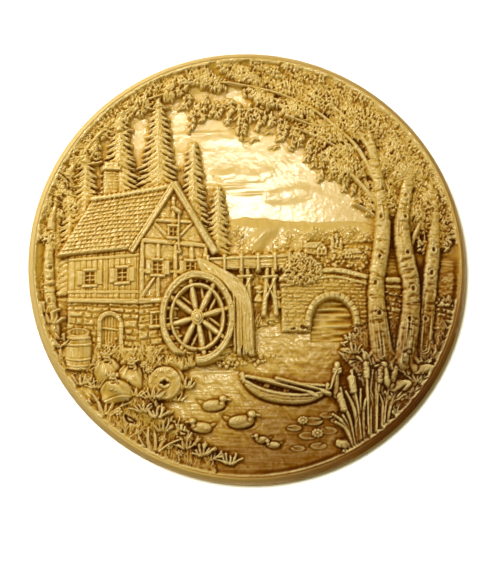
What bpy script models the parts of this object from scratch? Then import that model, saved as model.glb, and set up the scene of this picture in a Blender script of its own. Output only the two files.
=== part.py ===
"""Round decorative wall plate: one casting with a rolled rim, a foot ring and a carved landscape.

Metres, +Z up. The plate hangs upright, with its picture facing -Y and its foot ring against the wall plane y = 0.
The origin is on the foot ring's rear face, at the top of the ring, where the plate bears on the wall under its hook.
Picture coordinates below are millimetres from the plate's centre: x to the right, z up, d out from the wall.
"""

import math

import bmesh
import bpy
from mathutils import Matrix, Vector

MM = 1.0  # carved at 1 unit to the millimetre, where the joins keep fine edges, and brought to metres at the end
TO_METRES = 0.001

# ---- driving sizes, millimetres ------------------------------------------------------------------------------------
PLATE_R = 130.0  # outside radius: a 260 mm plate
CREST_R = 127.0  # the rolled rim's highest circle
CREST_D = 20.3
FIELD_R = 122.0  # the carved picture ends here, in the hollow inside the rim
SKY_D = 12.0  # front of the plain sky at the plate's centre
RECESS_D = 5.0  # floor of the recess inside the foot ring
FOOT_IN, FOOT_OUT = 76.0, 84.0
FOOT_MID = (FOOT_IN + FOOT_OUT) / 2
PLATE_Z = -FOOT_MID  # plate centre below the origin
TURN_STEPS = 64
CORD_HOLE_R = 1.3  # two holes through the foot ring, for a hanging wire
CORD_HOLE_DEG = 14.0

# Front from the centre out, round the rim, and back in: (radius, distance from the wall).
PROFILE = [
    (0.0, SKY_D), (92.0, 12.4), (105.4, 12.9), (110.7, 13.65), (115.3, 15.0), (120.4, 17.25), (124.2, 19.1),
    (126.0, 20.1), (126.7, CREST_D), (CREST_R + 0.3, CREST_D), (128.2, 19.6), (129.3, 18.1), (PLATE_R, 16.3), (129.4, 15.4),
    (120.0, 11.0), (108.0, 8.5), (96.0, 6.7), (86.5, RECESS_D + 0.4),
    (FOOT_OUT, 4.4), (FOOT_OUT - 0.2, 0.6), (FOOT_OUT - 0.9, 0.0), (FOOT_IN + 0.9, 0.0), (FOOT_IN + 0.2, 0.6),
    (FOOT_IN, 4.2), (FOOT_IN - 1.2, RECESS_D), (0.0, RECESS_D),
]

# Three ranges of hills, far to near: crest line z = a + sum of b * sin(x / c + e), and how far each stands out.
RANGES = [
    (22.0, [(6.5, 33.0, 0.6), (2.6, 14.0, 2.0)], 13.1),
    (9.0, [(5.0, 25.0, -1.1), (1.6, 10.0, 0.4)], 14.0),
    (-3.0, [(3.2, 29.0, 2.2), (1.2, 11.5, 0.5)], 14.9),
]
WATER_TOP, WATER_D, WATER_SLOPE = -12.0, 14.9, 0.026  # the ground and the water come forward as they fall
BANK_D, BANK_SLOPE = 16.2, 0.031

MILL_D = 18.6
MILL_SIDE = [(-106, -52), (-62, -58), (-62, 14), (-106, 9)]
MILL_GABLE = [(-64, -58), (-24, -50), (-24, 11), (-44.5, 44), (-64, 14)]
MILL_ROOF = [(-68.5, 9.0), (-44.5, 47.5), (-92, 39), (-112, 4.5)]
MILL_VERGE = [(-45.5, 48), (-43.5, 48), (-19, 9.0), (-22.5, 8.0), (-44.5, 42.0)]
WHEEL = (-30.0, -32.0, 25.5, 0.80, 20.8)  # x, z, radius to the middle of its rim, width share, d
WHEEL_SPOKES = 8
WHEEL_PADDLES = 18

BRIDGE_ARCH = (50.0, -34.0, 13.0, 14.5)  # x, z, half width, height
BRIDGE_D = 17.6


def place(x, z, d):
    """A picture point in the part's own frame."""
    return Vector((x * MM, -d * MM, (z + PLATE_Z) * MM))


bpy_objects = list(bpy.data.objects)
for old in bpy_objects:
    bpy.data.objects.remove(old)

parts = bpy.data.collections.new("wall_plate")
tools = bpy.data.collections.new("carving_tools")
bpy.context.scene.collection.children.link(parts)
bpy.context.scene.collection.children.link(tools)


def mesh_of(source):
    """A curve or modified object as a plain welded mesh in world space. The source is removed."""
    bpy.context.view_layer.update()
    graph = bpy.context.evaluated_depsgraph_get()
    mesh = bpy.data.meshes.new_from_object(source.evaluated_get(graph))
    mesh.transform(source.matrix_world)
    bm = bmesh.new()
    bm.from_mesh(mesh)
    bmesh.ops.remove_doubles(bm, verts=bm.verts, dist=2e-3)
    bmesh.ops.recalc_face_normals(bm, faces=bm.faces)
    bm.to_mesh(mesh)
    bm.free()
    name = source.name
    bpy.data.objects.remove(source)
    made = bpy.data.objects.new(name, mesh)
    tools.objects.link(made)
    made.hide_render = True
    made.display_type = "WIRE"
    return made


def slab(name, outline, d_front, d_back, lean=None, hole=None):
    """A flat outline in the picture plane, less a hole, carried from d_back to d_front. lean(x, z) adds to the front."""
    curve = bpy.data.curves.new(name, "CURVE")
    curve.dimensions = "2D"
    curve.fill_mode = "BOTH"
    curve.extrude = (d_front - d_back) / 2 * MM
    for ring in filter(None, (outline, hole)):
        line = curve.splines.new("POLY")
        line.points.add(len(ring) - 1)
        for point, (x, z) in zip(line.points, ring):
            point.co = (x * MM, z * MM, 0, 1)
        line.use_cyclic_u = True
    obj = bpy.data.objects.new(name, curve)
    tools.objects.link(obj)
    obj.location = place(0, 0, (d_front + d_back) / 2)
    obj.rotation_euler = (math.pi / 2, 0, 0)
    made = mesh_of(obj)
    if lean:
        middle = -(d_front + d_back) / 2 * MM
        for v in made.data.vertices:
            if v.co.y < middle:
                v.co.y -= lean(v.co.x / MM, v.co.z / MM - PLATE_Z) * MM
    return made


def blob(name, x, z, d, rx, rz, rd, turn=0.0, detail=2):
    """A rounded mass: a sphere stretched in the picture plane and in depth."""
    bpy.ops.mesh.primitive_ico_sphere_add(subdivisions=detail, radius=1.0)
    obj = bpy.context.object
    obj.name = name
    for c in obj.users_collection:
        c.objects.unlink(obj)
    tools.objects.link(obj)
    obj.scale = (rx * MM, rd * MM, rz * MM)
    obj.rotation_euler = (0, -math.radians(turn), 0)
    obj.location = place(x, z, d)
    return mesh_of(obj)


def tube(name, points, radii, flat=2, loop=False):
    """A tapering limb, rail or stem through (x, z, d) points, or a closed hoop."""
    curve = bpy.data.curves.new(name, "CURVE")
    curve.dimensions = "3D"
    curve.fill_mode = "FULL"
    curve.bevel_depth = MM
    curve.bevel_resolution = flat
    curve.use_fill_caps = True
    line = curve.splines.new("POLY")
    line.points.add(len(points) - 1)
    for point, (x, z, d), r in zip(line.points, points, radii):
        point.co = (*place(x, z, d), 1)
        point.radius = r
    line.use_cyclic_u = loop
    obj = bpy.data.objects.new(name, curve)
    tools.objects.link(obj)
    return mesh_of(obj)


def turned(name, profile, steps, matrix):
    """A turned shape: (radius, height) in millimetres from top to bottom, about its own Z."""
    mesh = bpy.data.meshes.new(name)
    bm = bmesh.new()
    ring = [bm.verts.new((r * MM, 0, h * MM)) for r, h in profile]
    for a, b in zip(ring, ring[1:]):
        bm.edges.new((a, b))
    bm.to_mesh(mesh)
    bm.free()
    obj = bpy.data.objects.new(name, mesh)
    tools.objects.link(obj)
    screw = obj.modifiers.new("turn", "SCREW")
    screw.axis = "Z"
    screw.steps = screw.render_steps = steps
    screw.use_merge_vertices = True
    screw.merge_threshold = 0.0001
    screw.use_normal_calculate = True
    obj.matrix_world = matrix
    return mesh_of(obj)


def in_circle(outline, r=FIELD_R):
    """The outline with each point beyond radius r drawn back onto that circle."""
    out = []
    for x, z in outline:
        k = math.hypot(x, z)
        out.append((x * r / k, z * r / k) if k > r else (x, z))
    return out


def arc(r, a0, a1, n):
    """Points on a circle about the plate's centre, from angle a0 to a1 in degrees."""
    return [
        (r * math.cos(math.radians(a0 + (a1 - a0) * i / n)), r * math.sin(math.radians(a0 + (a1 - a0) * i / n)))
        for i in range(n + 1)
    ]


def ridge(a, waves, x):
    return a + sum(b * math.sin(x / c + e) for b, c, e in waves)


def join(body, others, operation="UNION"):
    """Boolean each of the others into the body, one after the other. A join that fails is tried a hair's breadth away."""
    for other in others:
        before = len(body.data.vertices)
        for attempt in range(4):
            step = body.modifiers.new("join", "BOOLEAN")
            step.operation = operation
            step.solver = "EXACT"
            step.object = other
            bpy.context.view_layer.update()
            graph = bpy.context.evaluated_depsgraph_get()
            mesh = bpy.data.meshes.new_from_object(body.evaluated_get(graph))
            body.modifiers.clear()
            bm = bmesh.new()
            bm.from_mesh(mesh)
            sound = len(bm.verts) > 0.8 * before and all(len(e.link_faces) == 2 for e in bm.edges)
            bm.free()
            if sound:
                break
            other.location += Vector((0.011, -0.013, 0.007)) * MM
        body.data = mesh
        bpy.data.objects.remove(other)


# ---- the dish --------------------------------------------------------------------------------------------------------
facing = Matrix.Translation(place(0, 0, 0)) @ Matrix.Rotation(math.pi / 2, 4, "X")
plate = turned("plate", PROFILE, TURN_STEPS, facing)
tools.objects.unlink(plate)
parts.objects.link(plate)
plate.hide_render = False
plate.display_type = "TEXTURED"

carved = []

# ---- hills -----------------------------------------------------------------------------------------------------------
for n, (a, waves, d) in enumerate(RANGES):
    reach = 112.0
    xs = [-reach + 0.37 + 2 * reach * i / 24 for i in range(25)]
    crest = [(x, ridge(a, waves, x)) for x in xs]
    outline = in_circle(crest + [(100, -45), (-100, -45)], 113.5)
    carved.append(slab(f"hills_{n}", outline, d, 11.3))

# ---- water and banks ---------------------------------------------------------------------------------------------------
low = arc(121.0, 186.7, 353.1, 20)
carved.append(slab("river_bed", arc(111.5, 187.3, 352.6, 12) + [(100, -20), (-100, -20)], 14.55, 11.28))
carved.append(slab("water", low, WATER_D, 12.63, lambda x, z: WATER_SLOPE * max(0.0, WATER_TOP - z)))
bank_lean = lambda x, z: BANK_SLOPE * max(0.0, -10 - z)
left_bank = arc(120.4, 187, 262, 18) + [(-24, -112), (-36, -102), (-50, -90), (-60, -76), (-58, -66), (-40, -60), (-40, -40)]
carved.append(slab("left_bank", left_bank, BANK_D, 13.45, bank_lean))
right_bank = [(120.0 * math.cos(math.radians(-67)), 120.0 * math.sin(math.radians(-67)))] + arc(120.2, -64, -8, 14)
right_bank += [(88, -14), (66, -26), (64, -38), (54, -48), (58, -60), (70, -72), (72, -88), (62, -100)]
carved.append(slab("right_bank", right_bank, BANK_D, 13.39, bank_lean))
far_shore = [(-40, -48), (-14, -41), (10, -35), (34, -29), (40, -16), (-40, -16)]
carved.append(slab("far_shore", far_shore, 15.7, 11.6))

# ---- watermill -----------------------------------------------------------------------------------------------------------
side_lean = lambda x, z: 1.1 * (x + 106) / 44 - 1.0
carved.append(slab("mill_side", MILL_SIDE, MILL_D, 11.5, side_lean))
gable_lean = lambda x, z: 0.2 - 1.9 * (x + 64) / 40
carved.append(slab("mill_gable", MILL_GABLE, MILL_D + 0.1, 11.4, gable_lean))
carved.append(slab("mill_roof", MILL_ROOF, MILL_D + 0.9, 11.3, lambda x, z: -0.055 * max(0.0, z - 8) + 0.02 * (x + 70)))
carved.append(slab("mill_verge", MILL_VERGE, MILL_D + 0.3, 11.2))
carved.append(slab("mill_chimney", [(-86, 34), (-77, 35.5), (-77, 58), (-78.5, 58), (-78.5, 60), (-85, 60), (-85, 58), (-86, 58)], MILL_D - 0.2, 11.1))

wx, wz, wr, wide, wd = WHEEL


def hoop(r, n=24):
    return [(wx + r * wide * math.cos(2 * math.pi * i / n + 0.05), wz + r * math.sin(2 * math.pi * i / n + 0.05)) for i in range(n)]


def toothed(r, depth, teeth, share=0.34):
    """The wheel's outside: the rim with the ends of its paddles standing out of it."""
    out = []
    for i in range(teeth):
        for turn, reach in ((0.0, r), (0.03, r + depth), (share, r + depth), (share + 0.03, r)):
            t = 2 * math.pi * (i + turn) / teeth
            out.append((wx + reach * wide * math.cos(t), wz + reach * math.sin(t)))
    return out


carved.append(slab("wheel_rim", toothed(wr + 1.1, 2.6, WHEEL_PADDLES), wd, 11.27, hole=hoop(wr - 1.9)))
carved.append(slab("wheel_well", hoop(wr - 0.6, 16), 17.87, 11.21))
carved.append(blob("wheel_hub", wx, wz, wd - 1.2, 3.4, 3.8, 2.6))
for i in range(WHEEL_SPOKES):
    t = 2 * math.pi * (i + 0.3) / WHEEL_SPOKES
    end = (wx + (wr - 0.3) * wide * math.cos(t), wz + (wr - 0.3) * math.sin(t), wd - 1.9)
    carved.append(tube(f"wheel_spoke_{i}", [(wx, wz, wd - 1.6), end], [1.15, 1.15], 0))
carved.append(slab("flume", [(-27, -4.5), (24, -1.5), (24, 4.0), (-27, 1.0)], 18.4, 12.3))
for n, x in enumerate((-1.0, 14.0)):
    carved.append(slab(f"flume_post_{n}", [(x - 1.2, -38), (x + 1.2, -38), (x + 1.2, -2), (x - 1.2, -2)], 17.3, 12.2))

# ---- bridge ------------------------------------------------------------------------------------------------------------------
bx, bz, bw, bh = BRIDGE_ARCH
top = [(x, -9.0 + 6.0 * math.exp(-(((x - bx) / 20.0) ** 2))) for x in range(88, 19, -4)]
arch = [(bx - bw * math.cos(math.pi * i / 12), bz + bh * math.sin(math.pi * i / 12)) for i in range(13)]
bridge = top + [(20, -33), (bx - bw, -37.5)] + arch + [(bx + bw, -38), (88, -34)]
carved.append(slab("bridge", bridge, BRIDGE_D, 11.9))
carved.append(slab("field_wall", in_circle([(84, -19), (118, -30), (118, -40), (84, -30)], 116.5), 17.9, 12.1))

# ---- birches ------------------------------------------------------------------------------------------------------------------
TRUNKS = [
    ([(79, -52, 18.4), (76, -14, 18.4), (81, 26, 17.4), (75, 70, 16.0), (66, 104, 15.4)], [5.4, 4.4, 3.7, 2.7, 1.6]),
    ([(93, -56, 18.8), (97, -16, 18.6), (92, 22, 17.6), (97, 60, 16.4)], [5.8, 4.7, 4.0, 2.6]),
    ([(104, -48, 18.6), (108, -12, 18.2), (111, 22, 17.4)], [4.4, 3.7, 2.9]),
]
for n, (points, radii) in enumerate(TRUNKS):
    carved.append(tube(f"birch_{n}", points, radii, 1))
BOUGHS = [(93, 66, 23, 17), (68, 90, 25, 15), (42, 104, 19, 10), (104, 36, 14, 17), (60, 64, 16, 12), (81.4, 42.6, 15, 12), (22, 110, 12, 6), (46, 84, 15, 9)]
for n, (x, z, rx, rz) in enumerate(BOUGHS):
    leaves = blob(f"bough_{n}", x, z, 14.7 + 0.03 * n, rx, rz, 2.1, turn=-25)
    for v in leaves.data.vertices:  # drawn in to stay on the picture
        k = math.hypot(v.co.x / MM, v.co.z / MM - PLATE_Z)
        if k > 117.0:
            pull = (117.0 + 0.02 * (k - 117.0)) / k
            v.co.x *= pull
            v.co.z = (PLATE_Z + (v.co.z / MM - PLATE_Z) * pull) * MM
    carved.append(leaves)

# leafy boughs over the upper left, in one mass that follows the rim
eaves = [(-113, 10), (-106, 22), (-104, 33), (-96, 40), (-95, 52), (-87, 60), (-84, 70), (-72, 76), (-64, 88), (-52, 90), (-44, 99), (-31, 98), (-18, 103), (-6, 97), (6, 96), (14, 103)]
carved.append(slab("bough_left", eaves + arc(116.6, 84.3, 173.6, 15), 16.35, 11.83))

# ---- spruces behind the mill ------------------------------------------------------------------------------------------------
SPRUCES = [(-98, 58, 15.0, 62.0), (-76, 88, 17.0, 60.0), (-53, 98, 14.0, 62.0), (-33, 72, 10.0, 56.0)]
for n, (x, z, half, tall) in enumerate(SPRUCES):
    tiers = 4
    for k in range(tiers):
        x = x + 0.43 * ((5 * k + 3 * n) % 4 - 1.5)  # no two tiers share a centre line
        peak = z - tall * k / tiers * 0.9
        base = z - tall * (k + 1.25) / tiers
        w = half * (k + 1.2) / tiers
        outline = [(x, peak), (x - w * 0.45, (peak + base) / 2), (x - w, base), (x - w * 0.3, base + 1.6), (x + w * 0.35, base + 1.2), (x + w, base + 0.6), (x + w * 0.5, (peak + base) / 2)]
        carved.append(slab(f"spruce_{n}_{k}", in_circle(outline, 117.5), 15.1 + 0.17 * k - 0.05 * n, 12.02 + 0.03 * k + 0.011 * n))

# ---- things on the banks and the water -----------------------------------------------------------------------------------
for n, (x, z, h) in enumerate([(-6, -22, 9), (8, -17, 8), (20, -21, 8.5)]):
    carved.append(slab(f"stook_{n}", [(x - h * 0.42, z - h * 0.5), (x + h * 0.42, z - h * 0.5), (x + h * 0.14, z + h * 0.12), (x + h * 0.34, z + h * 0.5), (x - h * 0.34, z + h * 0.5), (x - h * 0.14, z + h * 0.12)], 16.5, 12.4))

SACKS = [(-82, -66, 8.6, 10.0), (-68, -70, 8.2, 9.0), (-76, -74, 9.0, 7.4)]
for n, (x, z, rx, rz) in enumerate(SACKS):
    carved.append(blob(f"sack_{n}", x, z, 18.4 + 0.4 * n, rx, rz, 3.7))
for n, (x, z) in enumerate([(-82, -55.5), (-68, -60.5)]):
    carved.append(blob(f"sack_neck_{n}", x, z, 19.0, 3.6, 3.2, 2.0, detail=1))

BARREL = [(0.0, 10.0), (6.6, 10.0), (7.6, 5.0), (8.0, 0.0), (7.6, -5.0), (6.6, -10.0), (0.0, -10.0)]
carved.append(turned("barrel", BARREL, 12, Matrix.Translation(place(-99, -50, 15.6)) @ Matrix.Diagonal((1.0, 0.5, 1.0, 1.0))))

stone = [(0.0, 1.6), (8.4, 1.6), (9.0, 1.0), (9.0, -4.0), (0.0, -4.0)]
stone_pose = Matrix.Translation(place(-47, -71, 20.2)) @ Matrix.Rotation(math.radians(90), 4, "X") @ Matrix.Rotation(math.radians(-14), 4, "X")
carved.append(turned("millstone", stone, 20, stone_pose))

ROCKS = [(-58, -84, 6.5, 4.5), (-46, -96, 7.0, 4.4), (-32, -106, 7.5, 4.2), (-66, -90, 6.0, 4.0), (60, -50, 5.5, 3.6), (76, -80, 6.5, 4.4), (69, -95, 6.5, 4.6), (57, -104, 6.0, 3.6), (-17, -113, 7.0, 3.4), (84, -86, 5.0, 3.4)]
for n, (x, z, rx, rz) in enumerate(ROCKS):
    carved.append(blob(f"rock_{n}", x, z, 17.8 - 0.012 * (z + 50), rx, rz, 3.2, turn=12 * (n % 3 - 1), detail=1))

BOAT = (22.0, -74.0, 25.0, 6.6)
carved.append(blob("boat", BOAT[0], BOAT[1], 17.4, BOAT[2], BOAT[3], 4.2, turn=-9))
carved.append(tube("mooring_post", [(52, -76, 17.3), (52.5, -60, 16.9)], [1.6, 1.5], 1))

for n, (x, z, s, way) in enumerate([(-20, -84, 1.0, 1), (-3, -93, 1.1, 1), (-28, -97, 0.9, -1)]):
    carved.append(blob(f"duck_{n}", x, z, 17.4, 6.4 * s, 3.0 * s, 2.5 * s, turn=8 * way))
    carved.append(blob(f"duck_head_{n}", x + way * 5.2 * s, z + 3.7 * s, 17.6, 1.9 * s, 2.4 * s, 1.7 * s, detail=1))
for n, (x, z, s) in enumerate([(88, -71, 1.0), (101, -61, 0.86)]):
    carved.append(blob(f"goose_{n}", x, z, 19.2, 8.6 * s, 5.2 * s, 3.2 * s, turn=-14))
    carved.append(tube(f"goose_neck_{n}", [(x - 6 * s, z + 1.5 * s, 20.0), (x - 8.4 * s, z + 8 * s, 20.0), (x - 8.0 * s, z + 12 * s, 20.0)], [2.6 * s, 1.6 * s, 1.4 * s], 1))
    carved.append(blob(f"goose_head_{n}", x - 8.9 * s, z + 12.6 * s, 20.0, 2.7 * s, 1.9 * s, 1.7 * s, detail=1))
for n, (x, z, lean, tall) in enumerate([(66, -100, -3, 30), (73, -97, 1, 36), (80, -90, 4, 31)]):
    carved.append(tube(f"reed_{n}", [(x, z, 18.9), (x + lean * 0.4, z + tall * 0.6, 19.4), (x + lean, z + tall, 19.4)], [0.9, 0.8, 0.8], 0))
    carved.append(blob(f"reed_head_{n}", x + lean, z + tall, 19.4, 1.7, 4.6, 1.6, detail=1))

join(plate, carved)

# ---- wire holes through the foot ring ------------------------------------------------------------------------------------------
for side in (-1, 1):
    t = math.radians(90 + side * CORD_HOLE_DEG)
    bpy.ops.mesh.primitive_cylinder_add(vertices=16, radius=CORD_HOLE_R * MM, depth=16 * MM)
    drill = bpy.context.object
    drill.name = "wire_hole"
    for c in drill.users_collection:
        c.objects.unlink(drill)
    tools.objects.link(drill)
    drill.rotation_euler = (0, math.radians(90) - t, 0)
    drill.location = place(FOOT_MID * math.cos(t), FOOT_MID * math.sin(t), 2.5)
    join(plate, [mesh_of(drill)], "DIFFERENCE")

# ---- finish: back to metres, and shade it as one casting -------------------------------------------------------
bm = bmesh.new()
bm.from_mesh(plate.data)
bmesh.ops.triangulate(bm, faces=bm.faces, quad_method="SHORT_EDGE", ngon_method="EAR_CLIP")
loose = [v for v in bm.verts if not v.link_faces]
bmesh.ops.delete(bm, geom=loose, context="VERTS")
open_edges = [e for e in bm.edges if len(e.link_faces) != 2]
bmesh.ops.scale(bm, vec=(TO_METRES, TO_METRES, TO_METRES), verts=bm.verts)
bm.to_mesh(plate.data)
print("plate triangles", len(bm.faces), "edges not shared by two faces", len(open_edges))
bm.free()
plate.data.shade_smooth()
plate.data.set_sharp_from_angle(angle=math.radians(35))

resin = bpy.data.materials.new("honey_resin")
resin.use_nodes = True
shader = resin.node_tree.nodes["Principled BSDF"]
shader.inputs["Base Color"].default_value = (0.56, 0.37, 0.13, 1.0)
shader.inputs["Roughness"].default_value = 0.38
shader.inputs["Metallic"].default_value = 0.0
plate.data.materials.clear()
plate.data.materials.append(resin)
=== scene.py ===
"""Visual model of the round relief wall plate: a finely carved picture, the turned body behind it, resin and light.

Metres in the part's frame: the plate hangs upright, its picture faces -Y and the wall plane is y = 0.
Picture coordinates are millimetres from the plate's centre: x to the right, z up, d out from the wall (y = -d).
"""

import math

import bpy
import numpy as np
from mathutils import Matrix, Vector


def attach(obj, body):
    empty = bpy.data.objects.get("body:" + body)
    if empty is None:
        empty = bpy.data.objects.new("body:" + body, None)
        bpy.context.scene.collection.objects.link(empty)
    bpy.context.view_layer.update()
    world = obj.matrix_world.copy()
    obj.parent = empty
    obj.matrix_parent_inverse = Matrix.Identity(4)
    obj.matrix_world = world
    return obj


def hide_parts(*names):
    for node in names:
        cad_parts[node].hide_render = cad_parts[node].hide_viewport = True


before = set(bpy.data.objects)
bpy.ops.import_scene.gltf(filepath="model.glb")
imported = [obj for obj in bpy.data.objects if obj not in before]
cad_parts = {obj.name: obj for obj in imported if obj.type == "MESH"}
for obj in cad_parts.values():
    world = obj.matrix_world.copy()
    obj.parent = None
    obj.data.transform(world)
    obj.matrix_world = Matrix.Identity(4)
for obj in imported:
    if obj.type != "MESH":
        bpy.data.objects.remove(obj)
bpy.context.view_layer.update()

# ---- relief: begin ---------------------------------------------------------------------------------------------------
PLATE_Z = -80.0  # plate centre below the origin, millimetres
GRID = 1280
PITCH = 0.2  # millimetres between height samples
AXIS = ((np.arange(GRID) - (GRID - 1) / 2) * PITCH).astype(np.float32)
X, Z = np.meshgrid(AXIS, AXIS)
R = np.hypot(X, Z)
rng = np.random.default_rng(2024)

RIM_R = 127.0  # the carved picture and the turned body meet here, on the rim's crest
PROFILE = [
    (0.0, 12.0), (92.0, 12.4), (108.0, 12.9), (116.0, 13.4), (121.5, 14.2), (124.2, 15.4), (125.3, 17.0),
    (126.1, 19.5), (126.6, 20.3), (127.0, 20.4),
]
RADII = np.arange(0, 127.01, 0.1)
DEPTHS = np.interp(RADII, [p[0] for p in PROFILE], [p[1] for p in PROFILE])
soft = np.exp(-0.5 * (np.arange(-30, 31) / 4.0) ** 2)
DEPTHS = np.convolve(np.pad(DEPTHS, 30, mode="edge"), soft / soft.sum(), mode="valid")


def dish(r):
    return np.interp(r, RADII, DEPTHS)


FX = np.fft.rfftfreq(GRID, PITCH)[None, :] ** 2
FZ = np.fft.fftfreq(GRID, PITCH)[:, None] ** 2


def blur(field, sx, sz=None):
    """Gaussian blur, sigma in millimetres."""
    sz = sx if sz is None else sz
    window = np.exp(-2 * np.pi**2 * (sx * sx * FX + sz * sz * FZ))
    return np.fft.irfft2(np.fft.rfft2(field) * window, s=field.shape).astype(np.float32)


def grain(seed, sx, sz=None):
    """Smooth random field of unit spread, with features of about the given size."""
    field = blur(np.random.default_rng(seed).standard_normal((GRID, GRID)), sx, sz)
    return (field / field.std()).astype(np.float32)


def at(field, x, z):
    """The field's value at picture points, wrapped round at the edges."""
    u = (x / PITCH + (GRID - 1) / 2) % GRID
    v = (z / PITCH + (GRID - 1) / 2) % GRID
    i, j = np.floor(u).astype(np.int32) % GRID, np.floor(v).astype(np.int32) % GRID
    fu, fv = u - np.floor(u), v - np.floor(v)
    i1, j1 = (i + 1) % GRID, (j + 1) % GRID
    return (field[j, i] * (1 - fu) + field[j, i1] * fu) * (1 - fv) + (field[j1, i] * (1 - fu) + field[j1, i1] * fu) * fv


G03, G05, G1, G2, G5, G12 = grain(1, 0.32), grain(2, 0.5), grain(3, 0.95), grain(4, 2.0), grain(5, 5.0), grain(6, 12.0)
LONG_Z = grain(7, 0.35, 4.5)  # drawn out up and down
LONG_X = grain(8, 4.5, 0.35)  # drawn out sideways
RIPPLE = grain(9, 3.6, 0.62)


def smooth(a, b, x):
    t = np.clip((x - a) / (b - a), 0, 1)
    return t * t * (3 - 2 * t)


def window(x0, x1, z0, z1):
    a = slice(max(0, int((z0 - AXIS[0]) / PITCH)), min(GRID, int((z1 - AXIS[0]) / PITCH) + 2))
    b = slice(max(0, int((x0 - AXIS[0]) / PITCH)), min(GRID, int((x1 - AXIS[0]) / PITCH) + 2))
    return a, b


def around(points, margin):
    xs, zs = [p[0] for p in points], [p[1] for p in points]
    return window(min(xs) - margin, max(xs) + margin, min(zs) - margin, max(zs) + margin)


H = dish(R).astype(np.float32)


def over(w, sd, height, edge=0.22, groove=0.0, groove_width=0.45):
    """Lay a shape over the picture where its signed distance sd is positive, with a cut line round it."""
    if groove:
        H[w] -= 0.55 * groove * np.exp(-(((sd + 0.35) / groove_width) ** 2)) * (sd < 0.4)
    m = smooth(-edge, edge, sd)
    H[w] = H[w] * (1 - m) + height * m


def proud(w, sd, height, edge=0.22, groove=0.0):
    """As over, only where the shape stands above what is there."""
    sd = np.where(height > H[w] - 0.05, sd, np.minimum(sd, -1.0))
    over(w, sd, height, edge, groove)


def poly(x, z, points):
    """Signed distance to a polygon, positive inside."""
    d = np.full(x.shape, 1e9, np.float32)
    inside = np.zeros(x.shape, bool)
    for (ax, az), (bx, bz) in zip(points, points[1:] + points[:1]):
        ex, ez = bx - ax, bz - az
        t = np.clip(((x - ax) * ex + (z - az) * ez) / (ex * ex + ez * ez + 1e-9), 0, 1)
        d = np.minimum(d, np.hypot(x - ax - t * ex, z - az - t * ez))
        if az != bz:
            inside ^= ((az > z) != (bz > z)) & (x < (bx - ax) * (z - az) / (bz - az) + ax)
    return np.where(inside, d, -d)


def egg(x, z, cx, cz, rx, rz, turn=0.0):
    """Signed distance, roughly, to an ellipse; and the ellipse's own coordinates."""
    c, s = math.cos(math.radians(turn)), math.sin(math.radians(turn))
    u, v = ((x - cx) * c + (z - cz) * s) / rx, (-(x - cx) * s + (z - cz) * c) / rz
    k = np.hypot(u, v)
    return (1 - k) * min(rx, rz), u, v, k


def path(points, per=6):
    """A smooth curve through the points, each a tuple of any length."""
    pts = [np.array(p, float) for p in points]
    pts = [2 * pts[0] - pts[1]] + pts + [2 * pts[-1] - pts[-2]]
    out = []
    for a, b, c, d in zip(pts, pts[1:], pts[2:], pts[3:]):
        for i in range(per):
            t = i / per
            out.append(0.5 * (2 * b + (c - a) * t + (2 * a - 5 * b + 4 * c - d) * t * t + (3 * b - a - 3 * c + d) * t**3))
    return out + [pts[-2]]


def limb(x, z, run):
    """A tapered limb along run, points of (x, z, radius). Returns sd, across (-1..1), along (mm), radius."""
    best = np.full(x.shape, -1e9, np.float32)
    across, along, rad = np.zeros_like(best), np.zeros_like(best), np.full(x.shape, 1.0, np.float32)
    length = 0.0
    for a, b in zip(run, run[1:]):
        ex, ez = b[0] - a[0], b[1] - a[1]
        size = math.hypot(ex, ez) + 1e-9
        t = np.clip(((x - a[0]) * ex + (z - a[1]) * ez) / size**2, 0, 1)
        px, pz = x - a[0] - t * ex, z - a[1] - t * ez
        dist = np.hypot(px, pz)
        rr = a[2] + (b[2] - a[2]) * t
        better = (rr - dist) > best
        best = np.where(better, rr - dist, best)
        side = np.where(ex * pz - ez * px > 0, -1.0, 1.0)
        across = np.where(better, side * dist / rr, across)
        along = np.where(better, length + t * size, along)
        rad = np.where(better, rr, rad)
        length += size
    return best, np.clip(across, -1.2, 1.2), along, rad


def draw(points, height, rise, edge=0.2, groove=0.0, flat=0.0, mode=over, per=5):
    """A rounded stroke through (x, z, radius) points, at the given height (number or window function)."""
    run = path(points, per) if per > 1 else [np.array(p, float) for p in points]
    w = around(run, max(p[2] for p in points) + 1.2)
    x, z = X[w], Z[w]
    sd, across, along, rad = limb(x, z, run)
    base = height(x, z) if callable(height) else height
    mode(w, sd, base + rise * (np.sqrt(np.clip(1 - across**2, 0, 1)) * (1 - flat) + flat), edge, groove)


# Stamps: small shapes struck many times, highest wins.
def stamp_set(count, reach, shape):
    """shape(u, v, k) returns height and mask, with u along the stamp's direction, for each of count directions."""
    n = int(math.ceil(reach / PITCH))
    s = np.arange(-n, n + 1) * PITCH
    gx, gz = np.meshgrid(s, s)
    out = []
    for k in range(count):
        t = 2 * math.pi * k / count
        u, v = gx * math.cos(t) + gz * math.sin(t), -gx * math.sin(t) + gz * math.cos(t)
        h, m = shape(u, v, k)
        out.append((h.astype(np.float32), m, n))
    return out


def strike(stamp, x, z, base):
    h, m, n = stamp
    j, i = int(round((z - AXIS[0]) / PITCH)), int(round((x - AXIS[0]) / PITCH))
    if j - n < 0 or i - n < 0 or j + n + 1 > GRID or i + n + 1 > GRID:
        return
    spot = H[j - n : j + n + 1, i - n : i + n + 1]
    np.maximum(spot, h + base, out=spot, where=m)


def height_at(x, z):
    return float(H[min(GRID - 1, max(0, int(round((z - AXIS[0]) / PITCH)))), min(GRID - 1, max(0, int(round((x - AXIS[0]) / PITCH))))])


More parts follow.
